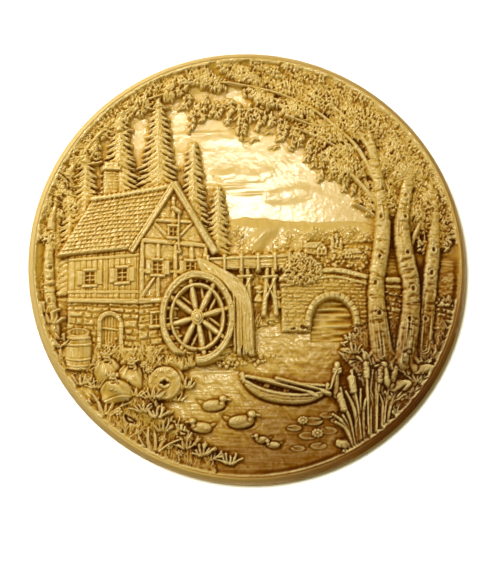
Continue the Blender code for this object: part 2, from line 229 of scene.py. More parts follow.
def leaf_stamps(length, width, rise, rib=0.22, tilt=0.35, count=24):
    def shape(u, v, k):
        s = np.clip(u / length + 0.5, 0, 1)
        half = width / 2 * np.sin(np.pi * s**0.85) ** 0.75 + 1e-6
        inside = (np.abs(v) < half) & (s > 0) & (s < 1)
        q = np.clip(np.abs(v) / half, 0, 1)
        h = rise * (1 - q**2) - rib * np.exp(-((v / 0.24) ** 2)) + tilt * (v / width) * (1 if k % 2 else -1) + 0.25 * rise * s
        return h, inside
    return stamp_set(count, length / 2 + 0.4, shape)


def blade_stamps(length, width, rise, bend, count=32):
    """Blades that grow from the stamp's centre along u and curve to one side."""
    def shape(u, v, k):
        s = np.clip(u / length, 0, 1)
        c = bend * (1 if k % 2 else -1) * s**2
        half = width / 2 * (1 - s) ** 0.6 + 0.08
        inside = (np.abs(v - c) < half) & (u > -0.1) & (u < length)
        return rise * (1 - (np.abs(v - c) / half) ** 2) * (0.55 + 0.45 * np.sin(np.pi * np.clip(s, 0, 1))), inside
    return stamp_set(count, length + abs(bend) * 0.3 + 0.4, shape)


def dome_stamps(radius, rise, count=6, lumpy=0.25):
    def shape(u, v, k):
        k2 = np.hypot(u, v * (1 + 0.08 * (k % 3))) / radius
        wobble = 1 + lumpy * 0.4 * np.sin(3 * np.arctan2(v, u) + k) + lumpy * 0.3 * np.sin(5 * np.arctan2(v, u) + 2 * k)
        q = k2 / wobble
        return rise * np.sqrt(np.clip(1 - q * q, 0, 1)), q < 1
    return stamp_set(count, radius * 1.3, shape)


DOMES = {r: dome_stamps(r, 0.75 * r) for r in (0.6, 0.8, 1.0, 1.3, 1.7, 2.2)}
LEAVES = [leaf_stamps(2.1, 1.0, 0.30, rib=0.0, tilt=0.28), leaf_stamps(2.6, 1.2, 0.34, rib=0.10, tilt=0.28), leaf_stamps(1.6, 0.85, 0.26, rib=0.0, tilt=0.24)]
LEAFLETS = [leaf_stamps(1.9, 1.0, 0.4, rib=0.0, tilt=0.2), leaf_stamps(2.3, 1.15, 0.45, rib=0.0, tilt=0.2)]
SLIVERS = [leaf_stamps(3.6, 1.0, 0.5, rib=0.0, tilt=0.1), leaf_stamps(4.8, 1.1, 0.55, rib=0.0, tilt=0.1)]
GRASS = [blade_stamps(4.2, 0.8, 0.6, 0.9), blade_stamps(6.0, 0.9, 0.7, 1.5), blade_stamps(2.8, 0.75, 0.5, 0.5)]
SEDGE = [blade_stamps(11.0, 1.3, 0.9, 2.6), blade_stamps(14.0, 1.5, 1.0, 4.0)]


def pick(stamps, degrees):
    return stamps[int(round(degrees / 360 * len(stamps))) % len(stamps)]


def crowns(points, radii=(0.8, 1.0, 1.3), lift=0.0):
    """Round tree crowns, far ones first."""
    for x, z in sorted(points, key=lambda p: -p[1]):
        r = radii[int(rng.integers(len(radii)))]
        strike(DOMES[r][int(rng.integers(6))], x, z, height_at(x, z) + lift + float(rng.uniform(-0.1, 0.15)))


def scatter(x0, x1, z0, z1, count, inside=None):
    out = []
    for x, z in zip(rng.uniform(x0, x1, count), rng.uniform(z0, z1, count)):
        if math.hypot(x, z) < 125.5 and (inside is None or inside(x, z)):
            out.append((float(x), float(z)))
    return out


def masonry(x, z, seed, course=4.2, length=7.0, joint=0.36, rough=0.22, bump=0.5):
    """Height of rubble or cut stone laid in courses, about zero at the stones' faces."""
    r = np.random.default_rng(seed)
    wob = 0.35 * at(G5, x * 1.7 + seed, z * 1.7) + 0.12 * at(G2, x, z + seed)
    zz = z + wob * course * 0.16
    heights = np.cumsum(r.uniform(0.75, 1.3, 90) * course)
    heights -= heights[45]
    row = np.searchsorted(heights, zz)
    low, high = heights[np.clip(row - 1, 0, 89)], heights[np.clip(row, 0, 89)]
    joints = np.sort(np.cumsum(r.uniform(0.55, 1.5, (91, 60)) * length, axis=1), axis=1)
    joints -= joints[:, 30:31] + r.uniform(0, length, (91, 1))
    xx = x + wob * 0.5
    d_x = np.full(x.shape, 1e3)
    col = np.zeros(x.shape, int)
    for k in np.unique(row):
        m = row == k
        edges = joints[min(k, 90)]
        c = np.searchsorted(edges, xx[m])
        d_x[m] = np.minimum(xx[m] - edges[np.clip(c - 1, 0, 59)], edges[np.clip(c, 0, 59)] - xx[m])
        col[m] = c
    d = np.minimum(np.minimum(zz - low, high - zz), d_x) - joint / 2
    lift = (np.sin(row * 12.9898 + col * 78.233 + seed) * 43758.5453) % 1.0 - 0.5
    face = rough * (0.6 * at(G05, x + 3 * seed, z) + 0.6 * at(G1, x, z - 2 * seed))
    return bump * smooth(0, 0.95, d) - bump + lift * rough * 1.6 + face * smooth(0, 0.5, d)


def boards(u, v, wide, seed, gap=0.3, depth=0.4):
    """Boards side by side across u, running along v."""
    k = np.floor(u / wide)
    e = np.minimum(u - k * wide, (k + 1) * wide - u)
    lift = (np.sin(k * 12.9898 + seed) * 43758.5453) % 1.0
    return -depth * (1 - smooth(0.05, gap + 0.25, e)) + 0.22 * lift + 0.1 * at(LONG_Z, u * 1.4 + 17 * k + seed, v * 0.8)


# ---- sky: low clouds and birds ---------------------------------------------------------------------------------------
def cloud(cx, cz, span, tall, rise, seed):
    """A low bank of cloud: billows above, a flat and fading foot."""
    w = window(cx - span - 8, cx + span + 8, cz - tall, cz + tall * 2)
    x, z = X[w], Z[w]
    u, v = (x - cx) / span, (z - cz) / tall
    shape = 1 - np.abs(u) ** 2.2 - np.where(v > 0, v * v, 3.4 * v * v)
    shape += 0.42 * at(G5, x * 1.1 + seed * 7, z * 1.9) + 0.20 * at(G2, x * 0.8 + seed, z * 1.3)
    billow = 0.62 + 0.38 * np.clip(1.1 - np.abs(at(G2, x * 0.62 + 31 * seed, z * 0.8)), 0, 1)
    CLOUDS[w] += rise * smooth(0.0, 1.35, shape) * billow * (0.7 + 0.3 * np.clip(v, 0, 1.2))


CLOUDS = np.zeros_like(H)
cloud(-4, 56, 27, 8, 0.95, 41)
cloud(27, 42, 20, 6, 0.80, 42)
cloud(-16, 77, 17, 5, 0.60, 43)
cloud(34, 63, 13, 5, 0.55, 44)
H += 0.60 * blur(CLOUDS, 1.5)
for k in range(14):  # thin streaks of high cloud
    x0, z0, span = rng.uniform(-55, 30), rng.uniform(30, 96), rng.uniform(14, 34)
    w = window(x0 - span, x0 + span, z0 - 4, z0 + 4)
    H[w] += 0.16 * np.exp(-(((Z[w] - z0 - 0.06 * (X[w] - x0)) / 0.9) ** 2)) * np.exp(-(((X[w] - x0) / (span / 2)) ** 2))


def bird(x, z, s, tilt):
    for way in (-1, 1):
        pts = [(x, z, 0.5 * s), (x + way * 1.7 * s, z + (1.3 + way * tilt) * s, 0.52 * s), (x + way * 3.7 * s, z + (0.5 + way * tilt * 1.6) * s, 0.2 * s)]
        draw(pts, height_at(x, z) - 0.05, 0.75, groove=0.25)


for x, z, s, tilt in [(2, 76, 1.2, 0.3), (11, 81, 1.0, -0.2), (-7, 84, 0.9, 0.2), (16, 72, 0.8, 0.4), (5, 89, 0.75, 0.0)]:
    bird(x, z, s, tilt)

# ---- hills and valley ---------------------------------------------------------------------------------------------------
RANGES = [
    (22.0, [(6.5, 33.0, 0.6), (2.6, 14.0, 2.0)], 13.1),
    (9.0, [(5.0, 25.0, -1.1), (1.6, 10.0, 0.4)], 14.0),
    (-3.0, [(3.2, 29.0, 2.2), (1.2, 11.5, 0.5)], 14.9),
]


def crest(k, x):
    a, waves, _ = RANGES[k]
    return a + sum(b * np.sin(x / c + e) for b, c, e in waves)


w = window(-128, 128, -60, 40)
x, z = X[w], Z[w]
far = crest(0, x) + 0.35 * at(G2, x, 0 * x) + 0.25 * at(G1, x, 0 * x + 40)
sd = far - z
fold = 0.55 * at(G5, x * 0.8 + 0.5 * sd, z * 0.25) + 0.22 * at(G2, x + 0.6 * sd, z * 0.5)
over(w, sd, 13.2 - 0.55 * np.exp(-np.clip(sd, 0, 99) / 2.2) + fold * smooth(0.5, 6, sd) + 0.008 * sd, 0.3, 0.25)
mid = crest(1, x) + 0.3 * at(G2, x + 50, 0 * x)
sd = mid - z
fold = 0.35 * at(G5, x * 0.7 - 0.6 * sd, z * 0.3 + 20) + 0.12 * at(G2, x, z)
over(w, sd, 14.0 - 0.6 * np.exp(-np.clip(sd, 0, 99) / 2.0) + fold * smooth(0.5, 5, sd) + 0.01 * sd, 0.3, 0.45)

# woods on the far and middle hills
crowns(scatter(-60, 90, 0, 36, 1500, lambda a, b: crest(1, a) + 0.5 < b < crest(0, a) - 1.5 and at(G5, a * 0.9 + 9, b * 1.4) > 0.15), (0.6, 0.8), -0.1)
crowns([(a, float(crest(1, a)) + 0.3 + 0.4 * math.sin(a)) for a in np.arange(-30, 90, 1.15)], (0.8, 1.0, 0.6), 0.1)
crowns(scatter(-40, 90, -12, 20, 1500, lambda a, b: crest(2, a) + 1 < b < crest(1, a) - 1.0 and at(G5, a + 70, b * 1.5) > 0.25), (0.8, 1.0), -0.05)

# fields on the middle hill: furrows that follow the slope
sd = crest(1, x) - z
plot = smooth(0.1, 0.3, -at(G5, x + 70, z * 1.5)) * smooth(1.5, 3, sd) * smooth(0, 1.5, z - crest(2, x))
H[w] += 0.16 * np.sin((z * 0.9 + 3.0 * np.sin(x / 17)) * 3.3) * plot


def small_house(cx, cz, s, way):
    """A far farmhouse: a gabled front and a roof drawn back to one side."""
    base = height_at(cx, cz) + 0.1
    front = [(cx - 2.6 * s, cz), (cx + 2.6 * s, cz), (cx + 2.6 * s, cz + 3.6 * s), (cx, cz + 6.4 * s), (cx - 2.6 * s, cz + 3.6 * s)]
    side = [(cx + way * 2.6 * s, cz), (cx + way * 9.0 * s, cz + 0.9 * s), (cx + way * 9.0 * s, cz + 3.9 * s), (cx + way * 2.6 * s, cz + 3.6 * s)]
    roof = [(cx, cz + 6.6 * s), (cx + way * 3.2 * s, cz + 3.2 * s), (cx + way * 9.6 * s, cz + 3.8 * s), (cx + way * 6.8 * s, cz + 6.6 * s)]
    for pts, up in ((side, 0.5), (front, 0.95), (roof, 1.15)):
        w = around(pts, 1.5)
        sd = poly(X[w], Z[w], pts)
        extra = 0.12 * np.sin((Z[w] - cz) * 6) if pts is roof else 0.0
        over(w, sd, base + up + extra, 0.2, 0.45)
    for ox, oz, a, b in ((-1.0, 1.6, 0.55, 0.8), (1.1, 1.6, 0.55, 0.8), (0, 4.1, 0.5, 0.55), (way * 4.6, 1.9, 0.5, 0.6), (way * 6.8, 2.2, 0.5, 0.6)):
        w = window(cx + ox * s - 2, cx + ox * s + 2, cz + oz * s - 2, cz + oz * s + 2)
        box = np.minimum(a * s - np.abs(X[w] - cx - ox * s), b * s - np.abs(Z[w] - cz - oz * s))
        over(w, box, base + 0.25, 0.15)


small_house(44, 6.5, 1.15, -1)
small_house(60, 4.5, 0.85, 1)
for px, pz, tall in [(50.5, 8, 9), (53.0, 8, 11), (55.4, 7.6, 8.4), (34.6, 8.2, 6.4)]:  # poplars
    for k in range(26):
        t = k / 25
        strike(DOMES[0.8][k % 6], px + float(rng.uniform(-0.9, 0.9)) * (1 - t) ** 0.6 * 1.2, pz + tall * t, 14.55 + 0.15 * math.sin(k))

near = crest(2, X[w := window(-128, 128, -64, 10)]) + 0.25 * at(G2, X[w], 0 * X[w] + 90)
x, z = X[w], Z[w]
sd = near - z
rows = 0.14 * np.sin((x - 35) / (1.2 + 0.075 * np.clip(sd, 0, 99)) * 1.0) * smooth(2, 6, sd) * smooth(-0.2, 0.5, at(G12, x, z + 30))
tussock = 0.16 * at(G1, x, z * 1.6) + 0.1 * at(G05, x, z * 1.4)
over(w, sd, 14.9 - 0.5 * np.exp(-np.clip(sd, 0, 99) / 1.6) + 0.012 * sd + rows + tussock * smooth(0.3, 2, sd), 0.28, 0.5)
crowns([(a, float(crest(2, a)) + 0.2 + 0.5 * math.sin(a * 0.7)) for a in np.arange(-22, 78, 1.5) if math.sin(a / 7) > -0.55], (1.0, 1.3, 0.8), 0.1)
for x0, z0, x1, z1 in [(2, -3, 12, -12), (12, -12, 34, -13), (26, -4, 34, -13), (-16, -9, 2, -11)]:  # hedges between the fields
    n = int(math.hypot(x1 - x0, z1 - z0) / 1.0)
    crowns([(x0 + (x1 - x0) * i / n, z0 + (z1 - z0) * i / n + 0.6 * math.sin(i * 1.3)) for i in range(n)], (0.8, 1.0, 0.6), 0.05)
for a, b in scatter(-24, 76, -32, -6, 700, lambda a, b: b < crest(2, a) - 2.5 and at(G5, a, b + 11) > -0.2):
    strike(pick(GRASS[2], rng.uniform(60, 120)), a, b, height_at(a, b) - 0.1)
# ---- relief: part two ------------------------------------------------------------------------------------------------

# ---- river, far shore and bridge ----------------------------------------------------------------------------------------
SHORE = [(-128, -50), (-60, -50), (-40, -48), (-14, -41), (10, -35), (34, -29), (64, -33), (128, -40)]


def water_depth(x, z):
    return 14.35 + 0.026 * np.clip(-12 - z, 0, 999)


w = window(-126, 126, -126, -22)
x, z = X[w], Z[w]
shore = np.interp(x, [p[0] for p in SHORE], [p[1] for p in SHORE]) + 0.5 * at(G2, x, 0 * x + 5) + 0.3 * at(G1, x, 0 * x)
sd = shore - z
H[w] += 0.25 * np.exp(-np.abs(sd) / 1.5)
p = 0.75 + 0.010 * np.clip(sd, 0, 99)
swirl = 0.8 * at(G12, x, z)
crests = np.clip(at(RIPPLE, (x + swirl) / p, z / p + 0.4 * swirl) - 0.15, -0.35, 1.6)
waves = 0.34 * crests * (0.35 + 0.65 * smooth(-1.0, 0.9, at(G12, x * 1.3 + 30, z * 2.2)))
waves += 0.16 * np.clip(at(RIPPLE, (x - 40 + swirl) / (0.55 * p), z / (0.55 * p)), -0.2, 1.5) + 0.05 * at(LONG_X, x, z)
over(w, sd, water_depth(x, z) + waves * smooth(0, 2, sd) * (0.6 + 0.006 * np.clip(sd, 0, 80)), 0.25, 0.35)


def rock(cx, cz, rx, rz, base, rise, seed, turn=0.0):
    """A broken stone: the lowest of several tilted faces."""
    r = np.random.default_rng(seed)
    w = window(cx - rx * 1.5, cx + rx * 1.5, cz - rz * 1.6, cz + rz * 1.6)
    sd, u, v, k = egg(X[w], Z[w], cx, cz, rx, rz, turn)
    top = np.full(u.shape, 1.0)
    for i in range(8):
        t = 2 * math.pi * (i + r.uniform(-0.35, 0.35)) / 8
        slope = r.uniform(0.7, 2.4)
        top = np.minimum(top, (1.12 - slope * 0.32 + 0.32) - slope * (u * math.cos(t) + v * math.sin(t)) * 0.8 + r.uniform(-0.06, 0.1))
    top = np.minimum(top, 0.86 + 0.18 * u * r.uniform(-1, 1) + 0.25 * v)
    edge = np.minimum(sd + 0.9 * at(G2, X[w] + seed, Z[w]) * 0.35, top * 2.0)
    rough = 0.09 * at(G1, X[w] + seed, Z[w]) + 0.06 * at(G05, X[w], Z[w])
    over(w, edge, base + rise * np.clip(top, 0, 1.1) + rough, 0.25, 0.45)


for k in range(46):  # stones along the far shore
    a = rng.uniform(-22, 36)
    b = float(np.interp(a, [p[0] for p in SHORE], [p[1] for p in SHORE])) + rng.uniform(-1.2, 0.7)
    s = rng.uniform(0.8, 2.1)
    rock(a, b, s * 1.4, s * 0.85, water_depth(0, b) + 0.1, 0.7 + 0.25 * s, 500 + k)
for k in range(90):
    a = rng.uniform(-20, 38)
    b = float(np.interp(a, [p[0] for p in SHORE], [p[1] for p in SHORE])) + rng.uniform(0.4, 2.6)
    strike(pick(GRASS[int(rng.integers(3))], rng.uniform(55, 125)), a, b, 15.35)


def stook(cx, cz, h):
    """A sheaf stack tied at the waist."""
    base = height_at(cx, cz - h * 0.45) + 0.3
    for i in range(17):
        t = (i / 16 - 0.5) * 2
        t = 0.97 * math.sin(t * math.pi / 2)
        j = float(rng.uniform(-0.06, 0.06))
        pts = [(cx + t * h * 0.43, cz - h * (0.52 - 0.05 * abs(t)), 0.5), (cx + t * h * 0.15, cz + h * 0.12, 0.42), (cx + (t + j) * h * 0.40, cz + h * (0.56 - 0.14 * abs(t)), 0.45)]
        draw(pts, base + 0.9 * (1 - t * t), 0.5, 0.18, 0.2)
    draw([(cx - h * 0.17, cz + h * 0.15, 0.5), (cx, cz + h * 0.09, 0.5), (cx + h * 0.17, cz + h * 0.15, 0.5)], base + 1.2, 0.5, groove=0.3)


for cx, cz, h in ((-7, -21, 9.5), (7, -17.5, 8.6), (18, -21, 9.0)):
    stook(cx, cz, h)

bx, bz, bw, bh = 50.0, -34.0, 13.0, 14.5


def road(x):
    return -9.0 + 6.0 * np.exp(-(((x - bx) / 20.0) ** 2))


w = window(14, 126, -46, 4)
x, z = X[w], Z[w]
body = np.minimum(np.minimum(road(x) - z, (x - 19.5 + 0.04 * (z + 20))), np.minimum(z + 40 + 0 * x, 92 - x))
u, v = (x - bx) / bw, (z - bz) / bh
k = np.hypot(u, v)
hollow = np.where(z > bz, (1 - k) * bw, np.minimum(bw - np.abs(x - bx), z + 46))
theta = np.arctan2(v, u)
body = np.minimum(body, -hollow)
stone = masonry(x, z, 21, course=2.5, length=4.4, joint=0.3, rough=0.16, bump=0.45)
ring = (k > 1) & (k < 1.25) & (z > bz - 3)
cut = np.abs(((theta / math.pi * 15) % 1) - 0.5) * 2
arch_face = 0.30 - 0.5 * smooth(0.72, 1.0, cut) + 0.1 * at(G1, x, z)
face = np.where(ring, arch_face, stone)
face -= 0.35 * np.exp(-(((k - 1.25) * bw / 0.4) ** 2)) * (z > bz)
over(w, body, 17.45 + face - 0.5 * np.exp(-np.clip(body, 0, 9) / 0.6) + 0.10, 0.22, 0.6)
over(w, hollow, 13.7 + 0.3 * at(RIPPLE, x, z) + 0.9 * smooth(bz + 4, bz - 6, z), 0.25)
cope = np.minimum(np.minimum(road(x) + 1.3 - z, z - road(x) + 1.5), np.minimum(x - 18.5, 93 - x))
joint = np.abs((x / 3.7) % 1 - 0.5) * 2
over(w, cope, 18.25 + 0.12 * at(G1, x, z) - 0.45 * smooth(0.86, 1.0, joint) - 0.35 * np.exp(-np.clip(cope, 0, 9) / 0.45), 0.2, 0.6)
string = 0.8 - np.abs(z - road(x) + 4.2)
over(w, np.minimum(string, body - 0.2), 17.95 + 0.08 * at(G1, x, z), 0.2, 0.3)
for k in range(16):  # fallen stones and plants at the bridge's foot
    a = rng.choice([rng.uniform(22, 37), rng.uniform(63, 70)])
    rock(a, -37.5 + rng.uniform(-1.5, 1.0), rng.uniform(1.2, 2.6), rng.uniform(0.9, 1.7), 15.3, 1.6, 600 + k)

# ---- spruces behind the mill ----------------------------------------------------------------------------------------------
def spruce(cx, top, half, tall, base):
    stem = [(cx, top + 1.0, 0.25), (cx, top - tall, 1.2)]
    draw(stem, base - 0.2, 0.8, per=1)
    tiers = int(tall / 3.3)
    for i in range(tiers, -1, -1):
        t = i / tiers
        z0 = top - tall * t
        reach = half * (0.10 + 0.90 * t) * (1 + 0.16 * math.sin(i * 2.4 + cx))
        count = int(6 + reach * 2.4)
        for j in range(count):
            s = (j + rng.uniform(0.1, 0.9)) / count * 2 - 1
            lean = 270 + s * 62 + rng.uniform(-7, 7)
            length = reach * (0.35 + 0.65 * abs(s)) + 1.6
            for m in range(int(2 + length / 1.9)):
                f = (m + rng.uniform(0, 0.6)) / (2 + length / 1.9)
                px = cx + s * length * f
                pz = z0 - abs(s) * length * f * 0.42 - f * 2.6 + rng.uniform(-0.5, 0.5)
                if math.hypot(px, pz) > 124:
                    continue
                rise = base + 1.5 * (1 - (px - cx) ** 2 / (half + 4) ** 2) - 0.5 * f + 0.25 * (1 - abs(s))
                strike(pick(SLIVERS[int(rng.integers(2))], lean + s * 18 * f), px, pz, rise + rng.uniform(-0.12, 0.12))


for cx, top, half, tall, base in ((-114, 28, 9, 40, 13.9), (-106, 42, 12, 56, 14.2), (-18, 46, 10, 52, 13.8), (-33, 72, 14, 74, 14.2), (-97, 64, 18, 74, 14.6), (-54, 99, 19, 84, 14.6), (-77, 90, 21, 92, 15.0)):
    spruce(cx, top, half, tall, base)

# ---- watermill --------------------------------------------------------------------------------------------------------------
def opening(cx, cz, wide, tall, d, panes=(2, 3), shutters=0, shear=0.0, arch=False):
    """A window: recess, frame, bars, sill and shutters."""
    w = window(cx - wide * 1.6 - 2, cx + wide * 1.6 + 2, cz - tall - 3, cz + tall + 3)
    x = X[w] - cx
    z = Z[w] - cz - shear * x
    box = np.minimum(wide / 2 - np.abs(x), tall / 2 - np.abs(z))
    over(w, box + 1.0, d + 0.55 + 0.06 * at(LONG_X, X[w], Z[w]), 0.18, 0.35)
    over(w, box, d - 0.95, 0.18)
    grid_x = np.abs(((x / wide + 0.5) * panes[0] + 0.5) % 1 - 0.5) * wide / panes[0]
    grid_z = np.abs(((z / tall + 0.5) * panes[1] + 0.5) % 1 - 0.5) * tall / panes[1]
    over(w, np.minimum(box, 0.36 - np.minimum(grid_x, grid_z)), d + 0.05, 0.15)
    sill = np.minimum(wide / 2 + 1.5 - np.abs(x), 0.75 - np.abs(z + tall / 2 + 1.1))
    over(w, sill, d + 1.05, 0.18, 0.4)
    lintel = np.minimum(wide / 2 + 1.2 - np.abs(x), 0.65 - np.abs(z - tall / 2 - 1.1))
    over(w, lintel, d + 0.85, 0.18, 0.3)
    for way in (-1, 1):
        if shutters:
            q = np.minimum(wide * 0.27 - np.abs(x - way * (wide / 2 + 1.1 + wide * 0.28)), tall / 2 + 0.4 - np.abs(z))
            slats = 0.22 * np.abs((z / 0.9) % 1 - 0.5) * 2
            over(w, q, d + 0.7 + slats * (q > 0.45), 0.18, 0.35)


w = window(-112, -58, -64, 20)
x, z = X[w], Z[w]
s = (x + 106) / 44
zb, zt = -52 - 6 * s, 9 + 5 * s
v = (z - zb) / (zt - zb)
level = -52 + v * 61
sd = poly(x, z, [(-106, -53), (-62, -59), (-62, 15), (-106, 10)])
stone = masonry(x, level * 1.05, 5, course=3.7, length=6.4, joint=0.4, rough=0.24, bump=0.6)
plank = boards(x, level, 3.3, 4.0)
wall = np.where(v < 0.47, stone, plank + 0.15)
over(w, sd, 17.5 + 1.1 * s + wall - 0.6 * smooth(0.86, 1.0, v), 0.25, 0.7)
band = 1.15 - np.abs(level - (-52 + 0.485 * 61))
over(w, np.minimum(band, sd), 18.4 + 1.1 * s + 0.1 * at(LONG_X, x, z), 0.2, 0.45)
for level_z in (1.5, -17.5):  # rails over the boards
    rail = 0.75 - np.abs(level - level_z)
    over(w, np.minimum(rail, sd), 18.05 + 1.1 * s + 0.08 * at(LONG_X, x, z), 0.18, 0.3)

w = window(-68, -18, -64, 52)
x, z = X[w], Z[w]
s = (x + 64) / 40
zb, zt = -58 + 8 * s, 14 - 3 * s
v = (z - zb) / (zt - zb)
level = -54 + v * 66
front = 18.75 - 1.7 * s
sd = poly(x, z, [(-64, -59), (-24, -51), (-24, 11), (-44.5, 45), (-64, 14)])
stone = masonry(x, level, 6, course=3.9, length=6.8, joint=0.4, rough=0.26, bump=0.6)
plaster = 0.07 * at(G2, x, z) + 0.05 * at(G05, x, z) - 0.15
over(w, sd, front + np.where(v < 0.47, stone, plaster), 0.25, 0.7)


def gable_pt(a, b):
    """A point of the gable from its own square: a across 0..1, b up (0 floor, 1 eaves)."""
    x = -64 + 40 * a
    return x, (-58 + 8 * a) + b * ((14 - 3 * a) - (-58 + 8 * a))


def timber(a, b, half=1.25, up=0.75):
    (x0, z0), (x1, z1) = a, b
    w = around([a, b], half + 2)
    x, z = X[w], Z[w]
    ex, ez = x1 - x0, z1 - z0
    size = math.hypot(ex, ez)
    t = ((x - x0) * ex + (z - z0) * ez) / size
    q = (-(x - x0) * ez + (z - z0) * ex) / size
    sd = np.minimum(half - np.abs(q) + 0.15 * at(G2, x, z), np.minimum(t + 0.3, size + 0.3 - t))
    d = 18.75 - 1.7 * (x + 64) / 40
    over(w, sd, d + up + 0.12 * at(LONG_X, t, q * 2.2) - 0.25 * smooth(0.6, 1.0, np.abs(q) / half), 0.18, 0.4)


for a in (0.03, 0.27, 0.52, 0.76, 0.97):
    timber(gable_pt(a, 0.5), gable_pt(a, 0.98))
timber(gable_pt(0.03, 0.52), gable_pt(0.27, 0.74), 0.95, 0.6)
timber(gable_pt(0.97, 0.52), gable_pt(0.76, 0.74), 0.95, 0.6)
timber(gable_pt(0.0, 0.74), gable_pt(1.0, 0.74), 1.05, 0.65)
timber(gable_pt(0.0, 0.49), gable_pt(1.0, 0.49), 1.5, 0.95)
timber(gable_pt(0.0, 1.0), gable_pt(1.0, 1.0), 1.35, 0.9)
timber((-44.5, 40), (-44.5, 12), 1.1, 0.7)
timber((-56.5, 25), (-44.5, 12.5), 0.9, 0.55)
timber((-33, 25), (-44.5, 12.5), 0.9, 0.55)
timber((-55.5, 26), (-33.5, 25.4), 1.0, 0.65)
opening(-53.6, -2.5, 5.6, 7.6, 18.5, panes=(2, 3), shutters=1, shear=-0.04)
opening(-34.2, -2.6, 5.2, 7.2, 17.7, panes=(2, 3), shutters=1, shear=-0.04)
opening(-44.6, 19.2, 4.4, 5.4, 18.2, panes=(2, 2), shear=-0.03)
opening(-54.0, -33.5, 5.0, 6.4, 18.6, panes=(2, 2), shear=0.1)
opening(-93.5, -9.0, 6.0, 7.6, 17.9, panes=(2, 3), shutters=1, shear=0.06)
opening(-74.5, -7.2, 6.0, 7.8, 18.4, panes=(2, 3), shutters=1, shear=0.08)
# hoist beam and rope under the gable's peak
draw([(-44.5, 33.5, 1.2), (-41.0, 31.0, 1.15)], 19.2, 1.2, groove=0.5, per=1)
draw([(-41.2, 30.5, 0.34), (-41.4, 16, 0.34), (-41.0, 8.5, 0.34)], 18.9, 0.7, groove=0.25)
draw([(-41.0, 8.8, 0.5), (-40.2, 7.4, 0.5), (-41.2, 6.4, 0.5), (-42.0, 7.2, 0.4)], 18.9, 0.7, groove=0.25)

# door in the side wall
w = window(-92, -70, -60, -20)
x, z = X[w], Z[w]
dz = z + 41.5 + 0.12 * (x + 81)
door = np.where(dz > 5, 5.2 - np.hypot(x + 81, (dz - 5)), np.minimum(5.2 - np.abs(x + 81), dz + 13))
angle = np.arctan2(dz - 5, x + 81)
voussoir = np.abs((angle / math.pi * 9) % 1 - 0.5) * 2
quoins = np.abs((dz / 3.4) % 1 - 0.5) * 2
over(w, door + 2.4, 18.7 + 0.1 * at(G1, x, z) - 0.5 * smooth(0.8, 1.0, np.where(dz > 5, voussoir, quoins)), 0.22, 0.5)
over(w, door, 17.0 + boards(x + 81, z, 1.75, 9.0, depth=0.45), 0.2)
for hz in (2.2, -8.0):
    strap = np.minimum(door - 0.5, 0.5 - np.abs(dz - hz))
    over(w, strap, 17.75, 0.15, 0.2)
over(w, 0.75 - np.hypot(x + 77.6, dz + 3.2), 18.1, 0.2, 0.2)

# chimney, then the shingled roof
w = window(-90, -73, 30, 66)
x, z = X[w], Z[w]
stack = np.minimum(4.4 - np.abs(x + 81.5), np.minimum(z - 33, 58.5 - z))
over(w, stack, 17.9 - 0.11 * (x + 86) + masonry(x, z, 8, course=1.9, length=3.6, joint=0.3, rough=0.14, bump=0.4), 0.2, 0.6)
over(w, np.minimum(5.3 - np.abs(x + 81.5), 1.1 - np.abs(z - 57.8)), 18.7 + 0.1 * at(G1, x, z), 0.2, 0.4)
over(w, np.minimum(3.9 - np.abs(x + 81.5), 1.2 - np.abs(z - 60.0)), 18.3 + 0.1 * at(G1, x, z), 0.2, 0.4)

w = window(-116, -40, 0, 54)
x, z = X[w], Z[w]
corner, eave = np.array([-112.0, 4.5]), np.array([43.5, 4.5])
left_up, right_up = np.array([20.0, 34.5]), np.array([24.0, 38.5])
u = np.zeros_like(x)
for _ in range(4):
    vx, vz = left_up[0] + u * (right_up[0] - left_up[0]), left_up[1] + u * (right_up[1] - left_up[1])
    det = eave[0] * vz - eave[1] * vx
    px, pz = x - corner[0], z - corner[1]
    u = (px * vz - pz * vx) / det
    v = (eave[0] * pz - eave[1] * px) / det
rows = 14
vv = v * rows + 0.10 * at(G5, x, z) + 0.05 * np.sin(u * 9)
row = np.floor(vv)
frac = vv - row
shift = (np.sin(row * 91.7) * 43758.5453) % 1.0
uu = u * 17 + shift + 0.14 * at(G1, row * 7 + u * 30, row * 5.0 + 0 * u)
col = np.floor(uu)
lift = (np.sin(row * 12.9898 + col * 78.233) * 43758.5453) % 1.0
edge_u = np.minimum(uu - col, 1 - uu + col)
ragged = smooth(0.0, 0.16, frac - 0.10 * (lift - 0.4))
shingle = 0.62 * (1 - frac) * ragged - 0.15 + 0.26 * (lift - 0.5) - 0.42 * (1 - smooth(0.03, 0.13, edge_u)) + 0.07 * at(LONG_Z, x * 1.6, z)
sag = 0.012 * np.sin(np.clip(u, 0, 1) * np.pi)
sd = np.minimum(np.minimum(u * 43.0, (1 - u) * 43.0), np.minimum((v + 0.012) * 38.0, (1 - sag - v) * 38.0))
over(w, sd, 19.75 - 1.25 * np.clip(v, 0, 1) + 0.45 * (u - 0.5) + shingle, 0.22, 0.9)
draw([(-92.4, 38.6, 1.25), (-80, 40.4, 1.2), (-68, 42.6, 1.2), (-56, 45.0, 1.25), (-44.4, 47.2, 1.35)], 18.55, 1.0, groove=0.3)
for i in range(17):  # ridge tiles
    a = -91 + 2.8 * i
    b = float(np.interp(a, [-92.4, -80, -68, -56, -44.4], [38.6, 40.4, 42.6, 45.0, 47.2]))
    draw([(a, b + 1.3, 0.3), (a + 0.25, b - 1.4, 0.3)], 19.15, 0.5, per=1)
